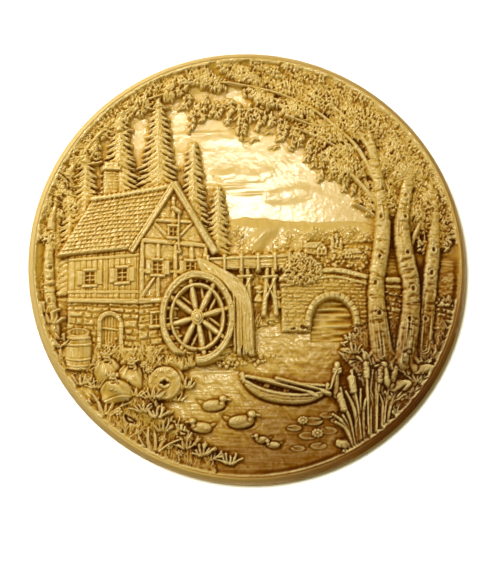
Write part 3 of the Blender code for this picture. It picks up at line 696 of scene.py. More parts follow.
for a, b, up in (((-69.6, 7.6), (-44.6, 48.4), 19.5), ((-44.2, 48.4), (-19.6, 7.4), 19.0)):  # verge boards
    w = around([a, b], 4)
    x, z = X[w], Z[w]
    size = math.hypot(b[0] - a[0], b[1] - a[1])
    t = ((x - a[0]) * (b[0] - a[0]) + (z - a[1]) * (b[1] - a[1])) / size
    q = (-(x - a[0]) * (b[1] - a[1]) + (z - a[1]) * (b[0] - a[0])) / size
    sd = np.minimum(1.7 - np.abs(q + 0.3), np.minimum(t, size - t) + 0.6)
    over(w, sd, up + 0.35 + 0.1 * at(LONG_X, t, q * 2) - 0.3 * smooth(0.2, 0.6, np.abs(q + 0.3) / 1.7 - 0.4), 0.2, 0.8)
    over(w, np.minimum(sd, 0.22 - np.abs(q - 0.2)), up - 0.1, 0.15)
# ---- relief: part three ----------------------------------------------------------------------------------------------

# ---- wheel, flume and falling water ----------------------------------------------------------------------------------------
wx, wz, wr, wide, wd = -30.0, -32.0, 25.5, 0.80, 20.6
REAR = (6.5, 1.0)  # how far the wheel's rear rim shows past its front one


def wheel_xy(r, t, rear=0.0):
    return wx + r * wide * math.cos(t) + REAR[0] * rear, wz + r * math.sin(t) + REAR[1] * rear


w = window(wx - 34, wx + 40, wz - 33, wz + 33)
x, z = X[w], Z[w]
k = np.hypot((x - wx) / wide, z - wz)
kr = np.hypot((x - wx - REAR[0]) / wide, z - wz - REAR[1])
well = wr + 0.5 - k
m = smooth(-0.6, 0.4, well)
H[w] = H[w] * (1 - m) + (np.minimum(H[w], 16.4) - 0.7 + 0.25 * at(G1, x, z)) * m
rear = 1.7 - np.abs(kr - wr)
over(w, rear, 17.5 + 0.08 * at(LONG_X, x, z), 0.22, 0.5)
for i in range(26):  # paddles from the rear rim to the front one
    t = 2 * math.pi * (i + 0.2) / 26
    a, b = wheel_xy(wr - 3.0, t), wheel_xy(wr + 2.4, t)
    c, d = wheel_xy(wr + 1.8, t + 0.02, 1.0), wheel_xy(wr - 2.6, t + 0.02, 1.0)
    w2 = around([a, b, c, d], 1.5)
    sd = poly(X[w2], Z[w2], [a, b, c, d]) + 0.35
    back = np.clip((X[w2] - a[0]) / 9.0, 0, 1)
    over(w2, sd, 19.3 - 1.6 * back + 0.1 * at(LONG_X, X[w2] + i, Z[w2]), 0.2, 0.45)
for i in range(8):
    t = 2 * math.pi * (i + 0.3) / 8
    c, d = wheel_xy(0, t, 0.85), wheel_xy(wr - 1.2, t, 0.85)
    draw([(c[0], c[1], 0.8), (d[0], d[1], 0.8)], 16.9, 0.8, groove=0.25, per=1)
for i in range(8):
    t = 2 * math.pi * (i + 0.3) / 8
    a, b = wheel_xy(0, t), wheel_xy(wr - 1.0, t)
    draw([(a[0], a[1], 1.25), (b[0], b[1], 1.15)], 18.8, 0.9, groove=0.5, flat=0.5, per=1)
for r, half, top in ((wr, 1.95, wd), (wr - 6.2, 0.95, wd - 0.7)):
    sd = half - np.abs(k - r)
    t = np.arctan2(z - wz, (x - wx) / wide)
    seam = np.abs((t / math.pi * 8 + 0.3) % 1 - 0.5) * 2
    over(w, sd, top - 0.55 * (1 - smooth(0.0, 0.5, sd)) + 0.12 * at(LONG_X, t * 20, k * 2.0) - 0.4 * smooth(0.955, 1.0, seam), 0.22, 0.6)
    if half > 1.5:
        over(w, np.minimum(sd - 0.3, 0.2 - np.abs(k - r + 0.2)), top - 0.3, 0.15)
for i in range(16):  # bolts round the rim
    a = wheel_xy(wr, 2 * math.pi * (i + 0.8) / 16)
    strike(DOMES[0.6][i % 6], a[0], a[1], wd - 0.1)
for r, top in ((4.6, wd - 0.6), (3.1, wd + 0.3), (1.5, wd + 1.0)):
    over(w, (r - k) * 0.9, top - 0.3 * np.exp(-np.clip(r - k, 0, 9) / 0.4), 0.2, 0.5)

# flume on its posts, leading the stream to the wheel
for px in (-2.0, 13.0):
    for side in (-1, 1):
        draw([(px + side * 1.5, -1, 0.95), (px + side * 3.6, -33 + 0.25 * px, 1.15)], 17.2, 0.8, groove=0.5, flat=0.4, per=1)
    for b0, b1 in ((-8, -22), (-22, -8)):
        draw([(px - 3.2, b0, 0.6), (px + 3.2, b1, 0.6)], 17.5, 0.6, groove=0.3, per=1)
    draw([(px - 3.8, -7.5, 0.8), (px + 3.8, -7.0, 0.8)], 17.8, 0.6, groove=0.35, per=1)
trough = [(-30, -3.8), (26, -1.0), (26, 5.2), (-30, 2.6)]
w = around(trough, 2)
x, z = X[w], Z[w]
sd = poly(x, z, trough)
lvl = (z - 0.05 * x + 0.6)
over(w, sd, 18.3 + 0.12 * at(LONG_X, x, z) - 0.4 * (np.abs((lvl + 1.0)) < 0.22) - 0.3 * (np.abs(lvl - 1.0) < 0.18), 0.2, 0.7)
top_edge = np.minimum(0.7 - np.abs(z - (3.9 + 0.048 * (x + 2))), sd + 1.2)
over(w, top_edge, 18.9 + 0.1 * at(LONG_X, x, z), 0.18, 0.3)
for px in (-24, -14, -4, 6, 16, 24.5):
    draw([(px, -3.6 + 0.05 * px, 0.75), (px, 5.2 + 0.04 * px, 0.75)], 18.8, 0.5, groove=0.35, flat=0.5, per=1)
for k in range(420):  # the leafy bank that the flume comes out of
    t, q = rng.uniform(0, 2 * math.pi), math.sqrt(rng.uniform(0, 1))
    a, b = 31 + 13 * q * math.cos(t), -3 + 9.5 * q * math.sin(t)
    if a > 20.5 + 2.0 * math.sin(b) and b < 7.5 - 0.05 * (a - 30) ** 2:
        strike(pick(LEAVES[2], rng.uniform(200, 340)), a, b, 18.2 + 1.2 * (1 - q * q) + rng.uniform(-0.5, 0.4))
# the fall over the wheel's near quarter, and foam where it lands
for i in range(34):
    s = i / 33
    x0 = -27.5 + 5.5 * s
    t0 = math.radians(84 - 34 * s)
    pts = [(x0 - 2.5, 3.0 - 1.2 * s, 0.35)]
    for j in range(7):
        t = t0 - j / 6 * math.radians(58 + 8 * math.sin(i * 1.7))
        rr = wr + 2.2 + 3.4 * s + 0.35 * math.sin(i * 2.1 + j)
        pts.append((wx + 5.6 * s + rr * (wide + 0.06) * math.cos(t), wz + rr * math.sin(t), 0.34 + 0.1 * math.sin(i * 3 + j)))
    pts.append((pts[-1][0] + 0.6, -48.0 - 6 * math.sin(i * 1.1) ** 2, 0.3))
    draw(pts, 19.2 - 0.9 * s, 0.75, groove=0.18, mode=proud)
for k in range(260):
    a, b = rng.normal(-12, 9), rng.normal(-55.5, 2.4)
    if a > -46:
        r = float(rng.choice([0.6, 0.8, 1.0, 1.3]))
        strike(DOMES[r][k % 6], a, b, 15.6 + 0.6 * math.exp(-(((a + 12) / 8) ** 2)) + rng.uniform(-0.2, 0.2))


# ---- banks --------------------------------------------------------------------------------------------------------------------
def bank_depth(x, z):
    return 16.1 + 0.029 * np.clip(-10 - z, 0, 999) + 0.35 * at(G12, x, z) + 0.16 * at(G5, x, z)


def ring_arc(r, a0, a1, n):
    return [(r * math.cos(math.radians(a0 + (a1 - a0) * i / n)), r * math.sin(math.radians(a0 + (a1 - a0) * i / n))) for i in range(n + 1)]


LEFT_BANK = ring_arc(127, 187, 262, 18) + [(-22, -113), (-34, -103), (-48, -91), (-57, -78), (-50, -69), (-38, -63), (-30, -60), (-30, -52), (-62, -55), (-106, -48)]
RIGHT_BANK = ring_arc(127, -66, -10, 16) + [(92, -20), (80, -30), (66, -38), (58, -47), (56, -55), (62, -64), (71, -74), (73, -88), (64, -101)]
for points, seed in ((LEFT_BANK, 31), (RIGHT_BANK, 57)):
    w = around(points, 3)
    x, z = X[w], Z[w]
    sd = poly(x, z, points) + 0.9 * at(G2, x + seed, z) + 0.4 * at(G1, x, z + seed)
    soil = 0.16 * at(G1, x + seed, z) + 0.09 * at(G05, x, z)
    over(w, sd, bank_depth(x, z) - 1.0 * np.exp(-np.clip(sd, 0, 99) / 1.6) + soil, 0.35, 0.7)


def inside(points):
    def test(a, b):
        hit = False
        for (ax, az), (bx_, bz_) in zip(points, points[1:] + points[:1]):
            if (az > b) != (bz_ > b) and a < (bx_ - ax) * (b - az) / (bz_ - az) + ax:
                hit = not hit
        return hit
    return test


in_left, in_right = inside(LEFT_BANK), inside(RIGHT_BANK)


def turf(points, sizes, lift=0.0):
    for a, b in sorted(points, key=lambda p: -p[1]):
        s = int(rng.choice(sizes))
        strike(pick(GRASS[s], rng.uniform(52, 128)), a, b, height_at(a, b) * 0.35 + 0.65 * float(bank_depth(np.float32(a), np.float32(b))) + lift + rng.uniform(-0.35, 0.05))


def tuft(cx, cz, n=14, spread=2.4, big=False, lift=0.2):
    base = height_at(cx, cz) + lift
    for i in range(n):
        t = (i + 0.5) / n * 2 - 1
        kind = SEDGE[int(rng.integers(2))] if big else GRASS[int(rng.choice([0, 1]))]
        strike(pick(kind, 90 - 58 * t + rng.uniform(-6, 6)), cx + t * spread, cz + rng.uniform(-0.5, 0.5), base + rng.uniform(-0.3, 0.2))


def path_mask(a, b):  # the trodden way from the mill's door
    return abs(a - (-84 + 0.35 * (b + 60) + 4 * math.sin(b / 9))) < 7 + 0.06 * (-b - 55)


turf([p for p in scatter(-122, -10, -120, -44, 5200, in_left) if not path_mask(*p)], [0, 0, 1, 2])
turf(scatter(50, 122, -116, -14, 4200, in_right), [0, 2, 2, 0])
for k in range(60):  # cobbles along the path
    b = rng.uniform(-112, -55)
    a = -84 + 0.35 * (b + 60) + 4 * math.sin(b / 9) + rng.uniform(-6, 6)
    if math.hypot(a, b) < 118:
        s = rng.uniform(1.0, 1.9) * (1 + (-b - 55) / 90)
        rock(a, b, s * 1.25, s * 0.8, float(bank_depth(np.float32(a), np.float32(b))) - 0.35, 0.9, 700 + k)

# dry stone wall on the right
wall = [(80, -17.5), (126, -27), (126, -41), (80, -31)]
w = around(wall, 2)
x, z = X[w], Z[w]
sd = poly(x, z, wall) + 0.5 * at(G2, x, z)
over(w, sd, 17.9 + masonry(x, z + 0.22 * x, 33, course=2.7, length=4.6, joint=0.5, rough=0.4, bump=0.7), 0.25, 0.7)
for i in range(13):
    rock(81 + 3.4 * i, -16.2 - 0.72 * i + rng.uniform(-0.3, 0.3), 2.0, 1.35, 17.6, 1.4, 800 + i)
turf([(a, -31 - 0.2 * (a - 80) + rng.uniform(-2, 1.5)) for a in rng.uniform(80, 116, 160)], [0, 1])


# ---- leafy boughs that come in over the upper left of the rim -------------------------------------------------------------
FRAME_LIMBS = [
    [(-116, 28, 1.7), (-110, 48, 1.6), (-101, 64, 1.3), (-86, 82, 1.0), (-66, 98, 0.7), (-42, 107, 0.35)],
    [(-111, 44, 1.2), (-107, 42, 0.8), (-101, 40, 0.4)],
    [(-105, 62, 1.0), (-98, 60, 0.7), (-88, 62, 0.35)],
    [(-88, 82, 0.8), (-80, 80, 0.6), (-70, 82, 0.3)],
    [(-105, 62, 0.9), (-104, 70, 0.7), (-98, 79, 0.35)],
    [(-66, 98, 0.6), (-58, 95, 0.45), (-48, 96, 0.25)],
]
FRAME_BOUGHS = [(-119, 34, 7, 12), (-111, 50, 10, 11), (-100, 68, 12, 9), (-84, 87, 15, 8), (-64, 102, 15, 7), (-44, 110, 13, 6), (-106, 36, 6, 6), (-118, 16, 5, 8), (-98, 76, 13, 7)]


# ---- birches --------------------------------------------------------------------------------------------------------------------
def birch(points, depths, seed):
    run = path([(a, b, r, d) for (a, b, r), d in zip(points, depths)], 7)
    w = around(run, 8)
    x, z = X[w], Z[w]
    sd, across, along, rad = limb(x, z, [tuple(p[:3]) for p in run])
    ds = np.cumsum([0] + [math.hypot(b[0] - a[0], b[1] - a[1]) for a, b in zip(run, run[1:])])
    d = np.interp(along, ds, [p[3] for p in run])
    r = np.random.default_rng(seed)
    girth = np.arcsin(np.clip(across, -1, 1)) * rad
    dash = at(LONG_X, girth * 1.5 + 40 * seed, along * 0.55 + 13 * seed)
    lenticel = smooth(0.75, 1.5, dash) * 0.5 + smooth(1.1, 1.9, at(LONG_X, girth * 2.6 - 20, along * 0.9 + 31)) * 0.35
    peel = 0.18 * smooth(0.2, 1.2, -dash) + 0.10 * at(G1, girth * 1.2, along * 0.7 + seed) + 0.06 * at(G05, x, z)
    crack_at = smooth(34, 4, along) + 0.55 * smooth(0.7, 1.6, at(G5, girth * 2 + 60, along * 0.8 + seed))
    crack = 0.55 * np.abs(at(LONG_Z, girth * 1.1 + 7 * seed, along * 0.5)) - 0.2
    bark = peel - lenticel * (1 - 0.7 * smooth(26, 6, along)) + crack * np.clip(crack_at, 0, 1)
    for i in range(5):  # eyes where boughs were shed
        a0 = 22 + 21 * i + r.uniform(-5, 5)
        g0 = r.uniform(-0.45, 0.45) * 4
        q = np.hypot((girth - g0) / 1.7, (along - a0) / 2.1)
        bark += 0.5 * np.exp(-(((q - 1) / 0.35) ** 2)) - 0.9 * np.exp(-((q / 0.55) ** 2))
        brow = np.abs(along - a0 - 2.6 + 0.28 * (girth - g0) ** 2)
        bark -= 0.5 * np.exp(-((brow / 0.4) ** 2)) * (np.abs(girth - g0) < 2.6)
    round_ = np.sqrt(np.clip(1 - across**2, 0, 1))
    over(w, sd + 0.25 * at(G1, x, z), d - 1.2 + (1.0 + 0.35 * rad) * round_ + bark * smooth(0, 0.5, round_), 0.25, 1.1, 0.7)


def twig(points, base, rise=0.7, groove=0.35, mode=over):
    draw(points, base, rise, groove=groove, mode=mode)


BOUGHS = [(93, 66, 23, 17), (68, 90, 25, 15), (42, 104, 20, 11), (104, 36, 14, 17), (60, 64, 16, 12), (81.4, 42.6, 15, 12), (20, 111, 15, 7), (34, 117, 15, 6), (62, 106, 14, 9), (10, 121, 12, 4.5), (113, 46, 10, 14), (117, 20, 7, 13), (46, 84, 15, 9), (-4, 117, 16, 6), (30, 96, 14, 7.5), (-27, 115, 14, 6), (8, 104, 12, 5), (96, 58, 12, 14), (76, 62, 10, 9)]


def foliage(cx, cz, rx, rz, turn, base, density=0.62, kinds=(0, 1, 2)):
    c, s = math.cos(math.radians(turn)), math.sin(math.radians(turn))
    n = int(math.pi * rx * rz * density * 3.0)
    pts = []
    for _ in range(n):
        k, t = math.sqrt(rng.uniform(0, 1)), rng.uniform(0, 2 * math.pi)
        k *= 1 + 0.13 * math.sin(5 * t + cx) + 0.08 * math.sin(9 * t + cz)
        u, v = k * math.cos(t), k * math.sin(t)
        pts.append((cx + u * rx * c - v * rz * s, cz + u * rx * s + v * rz * c, k))
    rng.shuffle(pts)
    for a, b, k in pts:
        if math.hypot(a, b) > 125.6:
            continue
        lump = 0.24 * float(at(G2, np.float32(a * 0.9), np.float32(b * 0.9))) + 0.34 * float(at(G5, np.float32(a), np.float32(b)))
        h = base + 1.1 * (1 - min(k, 1.0) ** 2) + lump + rng.uniform(-0.17, 0.17)
        h += 0.8 * max(0.0, float(dish(math.hypot(a, b))) - 13.6)
        down = 270 + rng.normal(0, 42)
        kind = LEAVES[int(rng.choice(kinds))]
        strike(pick(kind, down), a, b, h)


for n, (cx, cz, rx, rz) in enumerate(FRAME_BOUGHS):
    foliage(cx, cz, rx, rz, 38, 14.5, 0.40)
for points in FRAME_LIMBS:
    twig(points, 15.6, 0.9)
birch([(-113.5, -48, 3.9), (-117, -16, 3.1), (-117.5, 10, 2.7), (-115, 34, 2.2), (-108, 54, 1.5)], [16.9, 16.7, 16.4, 16.0, 15.6], 14)
for n, (cx, cz, rx, rz) in enumerate(FRAME_BOUGHS):
    foliage(cx + 1, cz - 1, rx * 0.95, rz * 0.92, 38, 15.4, 0.26)
# back leaves and the limbs that carry them
for n, (cx, cz, rx, rz) in enumerate(BOUGHS):
    foliage(cx, cz, rx, rz, -25, 14.0, 0.42)
LIMBS = [
    [(77, 52, 1.9), (66, 72, 1.5), (52, 86, 1.2), (36, 98, 0.9), (14, 107, 0.7), (-12, 112, 0.5), (-38, 110, 0.3)],
    [(75, 70, 1.7), (60, 90, 1.2), (44, 103, 0.8), (26, 112, 0.4)],
    [(79, 36, 1.6), (66, 52, 1.1), (54, 62, 0.8), (43, 68, 0.4)],
    [(96, 40, 1.7), (100, 62, 1.3), (92, 82, 0.9), (80, 94, 0.5)],
    [(95, 8, 1.5), (104, 28, 1.2), (112, 42, 0.7)],
    [(66, 72, 1.1), (56, 72, 0.8), (44, 78, 0.55), (30, 84, 0.3)],
    [(52, 86, 0.9), (40, 86, 0.6), (24, 92, 0.3)],
    [(36, 98, 0.7), (22, 98, 0.5), (6, 102, 0.3)],
    [(97, 54, 1.0), (84, 64, 0.7), (72, 68, 0.4)],
    [(81, 26, 1.0), (72, 34, 0.7), (64, 38, 0.35)],
]
for points in LIMBS:
    twig(points, 15.2, 0.9)
birch([(104, -50, 5.0), (108, -12, 4.1), (112, 22, 3.2), (110, 50, 2.2)], [18.0, 17.8, 17.2, 16.4], 3)
birch([(79, -54, 6.4), (76, -14, 4.9), (81, 26, 4.1), (75, 70, 3.0), (66, 104, 1.8)], [18.4, 18.4, 17.6, 16.6, 16.0], 5)
birch([(93, -58, 6.8), (97, -16, 5.2), (92, 22, 4.4), (97, 60, 2.9), (92, 84, 1.6)], [19.0, 18.8, 18.0, 17.0, 16.2], 9)
for n, (cx, cz, rx, rz) in enumerate(BOUGHS):
    foliage(cx, cz, rx * 0.92, rz * 0.9, -25, 15.3 + 0.028 * n, 0.34)
for points in LIMBS[:4] + LIMBS[5:8]:
    cut = points[: len(points) - 1] if len(points) > 3 else points
    twig([(a, b, r * 0.85) for a, b, r in cut], 16.1, 0.8, mode=proud)
for n, (cx, cz, rx, rz) in enumerate(BOUGHS):
    foliage(cx + 3, cz - 2, rx * 0.7, rz * 0.62, -25, 16.1, 0.20)


def hanging(x0, z0, length, sway, seed):
    """A weeping twig with small leaves, thicker set here and there."""
    r = np.random.default_rng(seed)
    n = max(3, int(length / 4))
    pts, drift = [], 0.0
    for i in range(n + 1):
        t = i / n
        pts.append((x0 + sway * t * t + drift, z0 - length * t, 0.34 - 0.16 * t))
        drift += r.uniform(-0.6, 0.6)

    def base(x, z):
        return 13.35 + 0.012 * (seed % 9) + 0.020 * np.clip(np.hypot(x, z) - 60, 0, 99) + 0 * x

    draw(pts, base, 0.6, groove=0.15, mode=proud)
    run = path(pts, 6)
    for i in range(int(length / 0.62)):
        t = r.uniform(0, 1)
        if math.sin(t * 9 + seed) + r.uniform(0, 1.3) < -0.2:
            continue
        p = run[min(len(run) - 1, int(t * (len(run) - 1)))]
        way = float(r.choice([-1, 1]))
        a, b = p[0] + way * r.uniform(0.3, 1.4), p[1] - r.uniform(0.1, 1.0)
        if math.hypot(a, b) < 123:
            strike(pick(LEAFLETS[int(r.integers(2))], 270 + way * r.uniform(5, 70)), a, b, float(base(np.float32(a), np.float32(b))) + 0.15 + r.uniform(0, 0.4))


edge = []
for k in range(44):  # below the canopy's edge, from the sky's left end to the trunks
    t = (k + rng.uniform(0, 0.8)) / 44
    a = -38 + 112 * t
    b = 106 - 4 * math.cos(t * 3) - 66 * t**2.3 + rng.uniform(-3, 3)
    edge.append((a, b, rng.uniform(7, 19) * (0.7 + 0.5 * math.sin(k * 2.1) ** 2), -3.5 + 3.0 * t + rng.uniform(-0.8, 0.8)))
edge += [(86, 33, 16, 1), (89, 34, 11, 0), (102, 24, 14, 1), (106, 22, 20, 1), (115, 22, 14, 0), (118, 30, 12, 0), (100, 44, 12, 0)]
for n, (a, b, length, sway) in enumerate(edge):
    hanging(a, b, length, sway, n + 1)
# ---- relief: part four ----------------------------------------------------------------------------------------------

# ---- foreground ------------------------------------------------------------------------------------------------------------
def ground(x, z):
    return float(bank_depth(np.float32(x), np.float32(z)))


def roots(cx, cz, spread, base, seed):
    """Root flares and the turf drawn up round a trunk's foot."""
    r = np.random.default_rng(seed)
    for t in (-1.0, -0.62, -0.25, 0.2, 0.6, 1.0):
        end = (cx + t * spread * 1.55, cz - 6.5 + 3.4 * abs(t) + r.uniform(-0.8, 0.8))
        draw([(cx + t * spread * 0.55, cz + 7, 1.9), (cx + t * spread * 0.8, cz + 1.5, 1.9), (end[0], end[1], 0.7)], base - 0.6, 2.0, edge=0.5, groove=0.25, mode=proud)
    for i in range(46):
        t = r.uniform(-1, 1)
        strike(pick(GRASS[int(r.integers(2))], 90 - 30 * t + r.uniform(-14, 14)), cx + t * spread * 1.9, cz - 7.5 + 3.6 * abs(t) + r.uniform(-1.6, 1.6), base + 0.9 + r.uniform(-0.4, 0.4))


roots(104, -49, 5.0, 17.6, 1)
roots(79, -53, 6.2, 18.2, 2)
roots(93, -57, 6.8, 18.8, 3)


def sack(cx, cz, rx, rz, d, lean, seed):
    """A full sack: square-shouldered, slumped at the foot, gathered and tied above."""
    w = window(cx - rx * 1.5, cx + rx * 1.5, cz - rz * 1.4, cz + rz * 1.9)
    x, z = X[w], Z[w]
    _, u, v, _ = egg(x, z, cx, cz, rx, rz, lean)
    belly = u / (1.02 - 0.10 * v - 0.10 * np.clip(v, 0, 2) ** 2 * 2)
    k = (np.abs(belly) ** 3.2 + np.abs(v) ** 3.2) ** (1 / 3.2)
    fan = np.arctan2(u, 1.45 - v)  # folds run out from the tie
    reach = smooth(-1.1, 0.9, v)
    folds = 0.55 * np.sin(fan * 15 + 1.1 * at(G5, x + seed, z)) * reach * (0.5 + 0.5 * np.sin(fan * 5 + seed))
    folds += 0.35 * np.exp(-(((v + 0.55 + 0.25 * u * u) / 0.07) ** 2)) - 0.3 * np.exp(-(((v + 0.40 + 0.3 * u * u) / 0.08) ** 2))
    folds += 0.25 * at(G2, x * 0.8 + seed, z * 0.8)
    weave = 0.06 * np.sin((x + z) * 5.5) * np.sin((x - z) * 5.5)
    dome = 3.0 * np.sqrt(np.clip(1 - np.clip(k, 0, 1) ** 2.6, 0, 1))
    over(w, (1 - k) * min(rx, rz) + 0.25 * at(G2, x, z + seed), d + dome + folds + weave, 0.3, 0.8, 0.7)
    s_, c_ = math.sin(math.radians(lean)), math.cos(math.radians(lean))
    nx, nz = cx - s_ * rz * 0.98, cz + c_ * rz * 0.98
    for i in range(11):  # gathered neck above the tie
        t = (i / 10 - 0.5) * 2
        flare = 1.0 + 0.25 * math.sin(i * 2.3 + seed)
        draw([(nx + t * 1.3, nz - 1.6, 0.42), (nx + t * 1.0, nz + 0.6, 0.38), (nx + t * 3.0 * flare - s_ * 3, nz + (3.4 - 1.1 * abs(t)) * flare, 0.5)], d + 1.9 + 0.5 * (1 - t * t), 0.7, groove=0.3)
    draw([(nx - 1.5, nz + 0.5, 0.42), (nx, nz + 0.1, 0.45), (nx + 1.5, nz + 0.5, 0.42)], d + 2.9, 0.5, groove=0.3)
    draw([(nx + 1.2, nz + 0.3, 0.3), (nx + 2.4, nz - 1.6, 0.3), (nx + 2.2, nz - 3.0, 0.25)], d + 2.9, 0.5, groove=0.25)


def barrel(cx, cz, rx, rz, d):
    w = window(cx - rx * 1.5, cx + rx * 1.5, cz - rz * 1.5, cz + rz * 1.5)
    x, z = X[w] - cx, Z[w] - cz
    half = rx * (1 - 0.20 * (z / rz) ** 2)
    bow = 0.14 * half * np.sqrt(np.clip(1 - (x / half) ** 2, 0, 1))
    sd = np.minimum(half - np.abs(x), np.minimum(z + rz + bow * 1.4, rz - z + bow * 1.2))
    q = np.clip(x / half, -1, 1)
    girth = np.arcsin(q) / math.pi * 9
    stave = np.abs(girth % 1 - 0.5) * 2
    h = 3.9 * np.sqrt(np.clip(1 - q * q, 0, 1)) - 0.35 * smooth(0.8, 1.0, stave) + 0.10 * at(LONG_Z, X[w] * 1.3, Z[w])
    over(w, sd, d + h, 0.25, 1.0, 0.7)
    zz = z + bow * 1.4
    for hz in (-0.78, -0.42, 0.40, 0.76):
        band = np.minimum(0.62 - np.abs(zz - hz * rz), sd + 0.15)
        over(w, band, d + 3.9 * np.sqrt(np.clip(1 - q * q, 0, 1)) + 0.45, 0.16, 0.25)
    lid = 1 - np.hypot(x / (rx * 0.78), (z - rz) / (rx * 0.27))
    over(w, lid * 2.0, d + 1.6 + 0.8 * (np.abs(lid) < 0.16) + boards(x, z, 1.9, 3.0, depth=0.3), 0.2, 0.3)


def millstone(cx, cz, r, d):
    w = window(cx - r * 1.5, cx + r * 1.5, cz - r * 1.5, cz + r * 1.5)
    x, z = X[w], Z[w]
    thick, _, _, _ = egg(x, z, cx + 2.2, cz + 0.5, r, r * 1.02)
    over(w, thick, d - 0.3 + 0.1 * at(G1, x, z), 0.25, 1.0, 0.7)
    sd, u, v, k = egg(x, z, cx, cz, r, r)
    t = np.arctan2(v, u)
    lands = (t / (2 * math.pi) * 10 + 0.9 * (k - 0.6)) % 1
    sub = np.abs((lands * 4) % 1 - 0.5) * 2
    face = 1.3 - 0.45 * smooth(0.72, 0.98, sub) * smooth(0.34, 0.42, k) * smooth(0.95, 0.88, k) - 0.25 * smooth(0.0, 0.05, 0.03 - np.abs(lands - 0.0))
    face += 0.10 * at(G1, x, z) - 0.5 * np.exp(-np.clip(sd, 0, 9) / 0.5)
    over(w, sd, d + face, 0.22, 0.5)
    over(w, (0.35 - k) * r, d + 1.7 + 0.08 * at(G1, x, z), 0.2, 0.4)
    eye = np.maximum((0.19 - k) * r, np.minimum(0.75 - np.abs(v * r), 0.30 * r - np.abs(u * r)))
    over(w, eye, d - 1.2, 0.2)


turf([(a, b) for a, b in zip(rng.uniform(-112, -52, 260), rng.uniform(-60, -53, 260))], [0, 1], 0.5)
barrel(-99.5, -52, 8.2, 10.5, 16.6)
sack(-82, -66, 8.4, 9.6, 17.0, 6, 11)
sack(-69.5, -69, 8.0, 8.8, 17.4, -8, 23)
sack(-77.5, -76, 9.2, 7.0, 18.6, 12, 37)
millstone(-49, -71, 9.6, 18.0)
for cx, cz, n in ((-106, -63, 12), (-96, -64, 14), (-88, -74, 10), (-66, -79, 14), (-56, -80, 12), (-43, -81, 14), (-38, -74, 10), (-91, -61, 10), (-114, -50, 12), (-109, -49, 9)):
    tuft(cx, cz, n, 4.2, lift=0.9)

ROCKS = [(-57, -86, 6.6, 4.6), (-45, -97, 7.2, 4.6), (-31, -107, 7.6, 4.4), (-68, -93, 5.4, 3.8), (59, -51, 5.2, 3.6), (75, -81, 6.6, 4.6), (69, -96, 6.4, 4.4), (57, -105, 6.2, 3.8), (-17, -114, 7.2, 3.6), (84, -87, 4.8, 3.4),
         (-51, -90, 3.6, 2.6), (-38, -101, 3.8, 2.6), (-24, -112, 3.4, 2.4), (61, -58, 3.2, 2.2), (71, -89, 3.4, 2.4), (64, -101, 3.0, 2.2), (-63, -87, 3.0, 2.2), (-8, -117, 4.0, 2.2), (57.5, -46.5, 2.8, 1.9), (66, -65.5, 3.0, 2.2)]
for n, (cx, cz, rx, rz) in enumerate(ROCKS):
    rock(cx, cz, rx, rz, 16.0 + 0.020 * (-cz - 50), 2.3 + 0.16 * rx, 900 + n, turn=10 * (n % 3 - 1))
for n, (cx, cz, rx, rz) in enumerate(ROCKS):
    if rx > 3.3 and n % 4 != 3:
        tuft(cx + (rx * 0.7 if cx > 0 else -rx * 0.7), cz - rz * 0.5, 9, 2.6, lift=0.8)


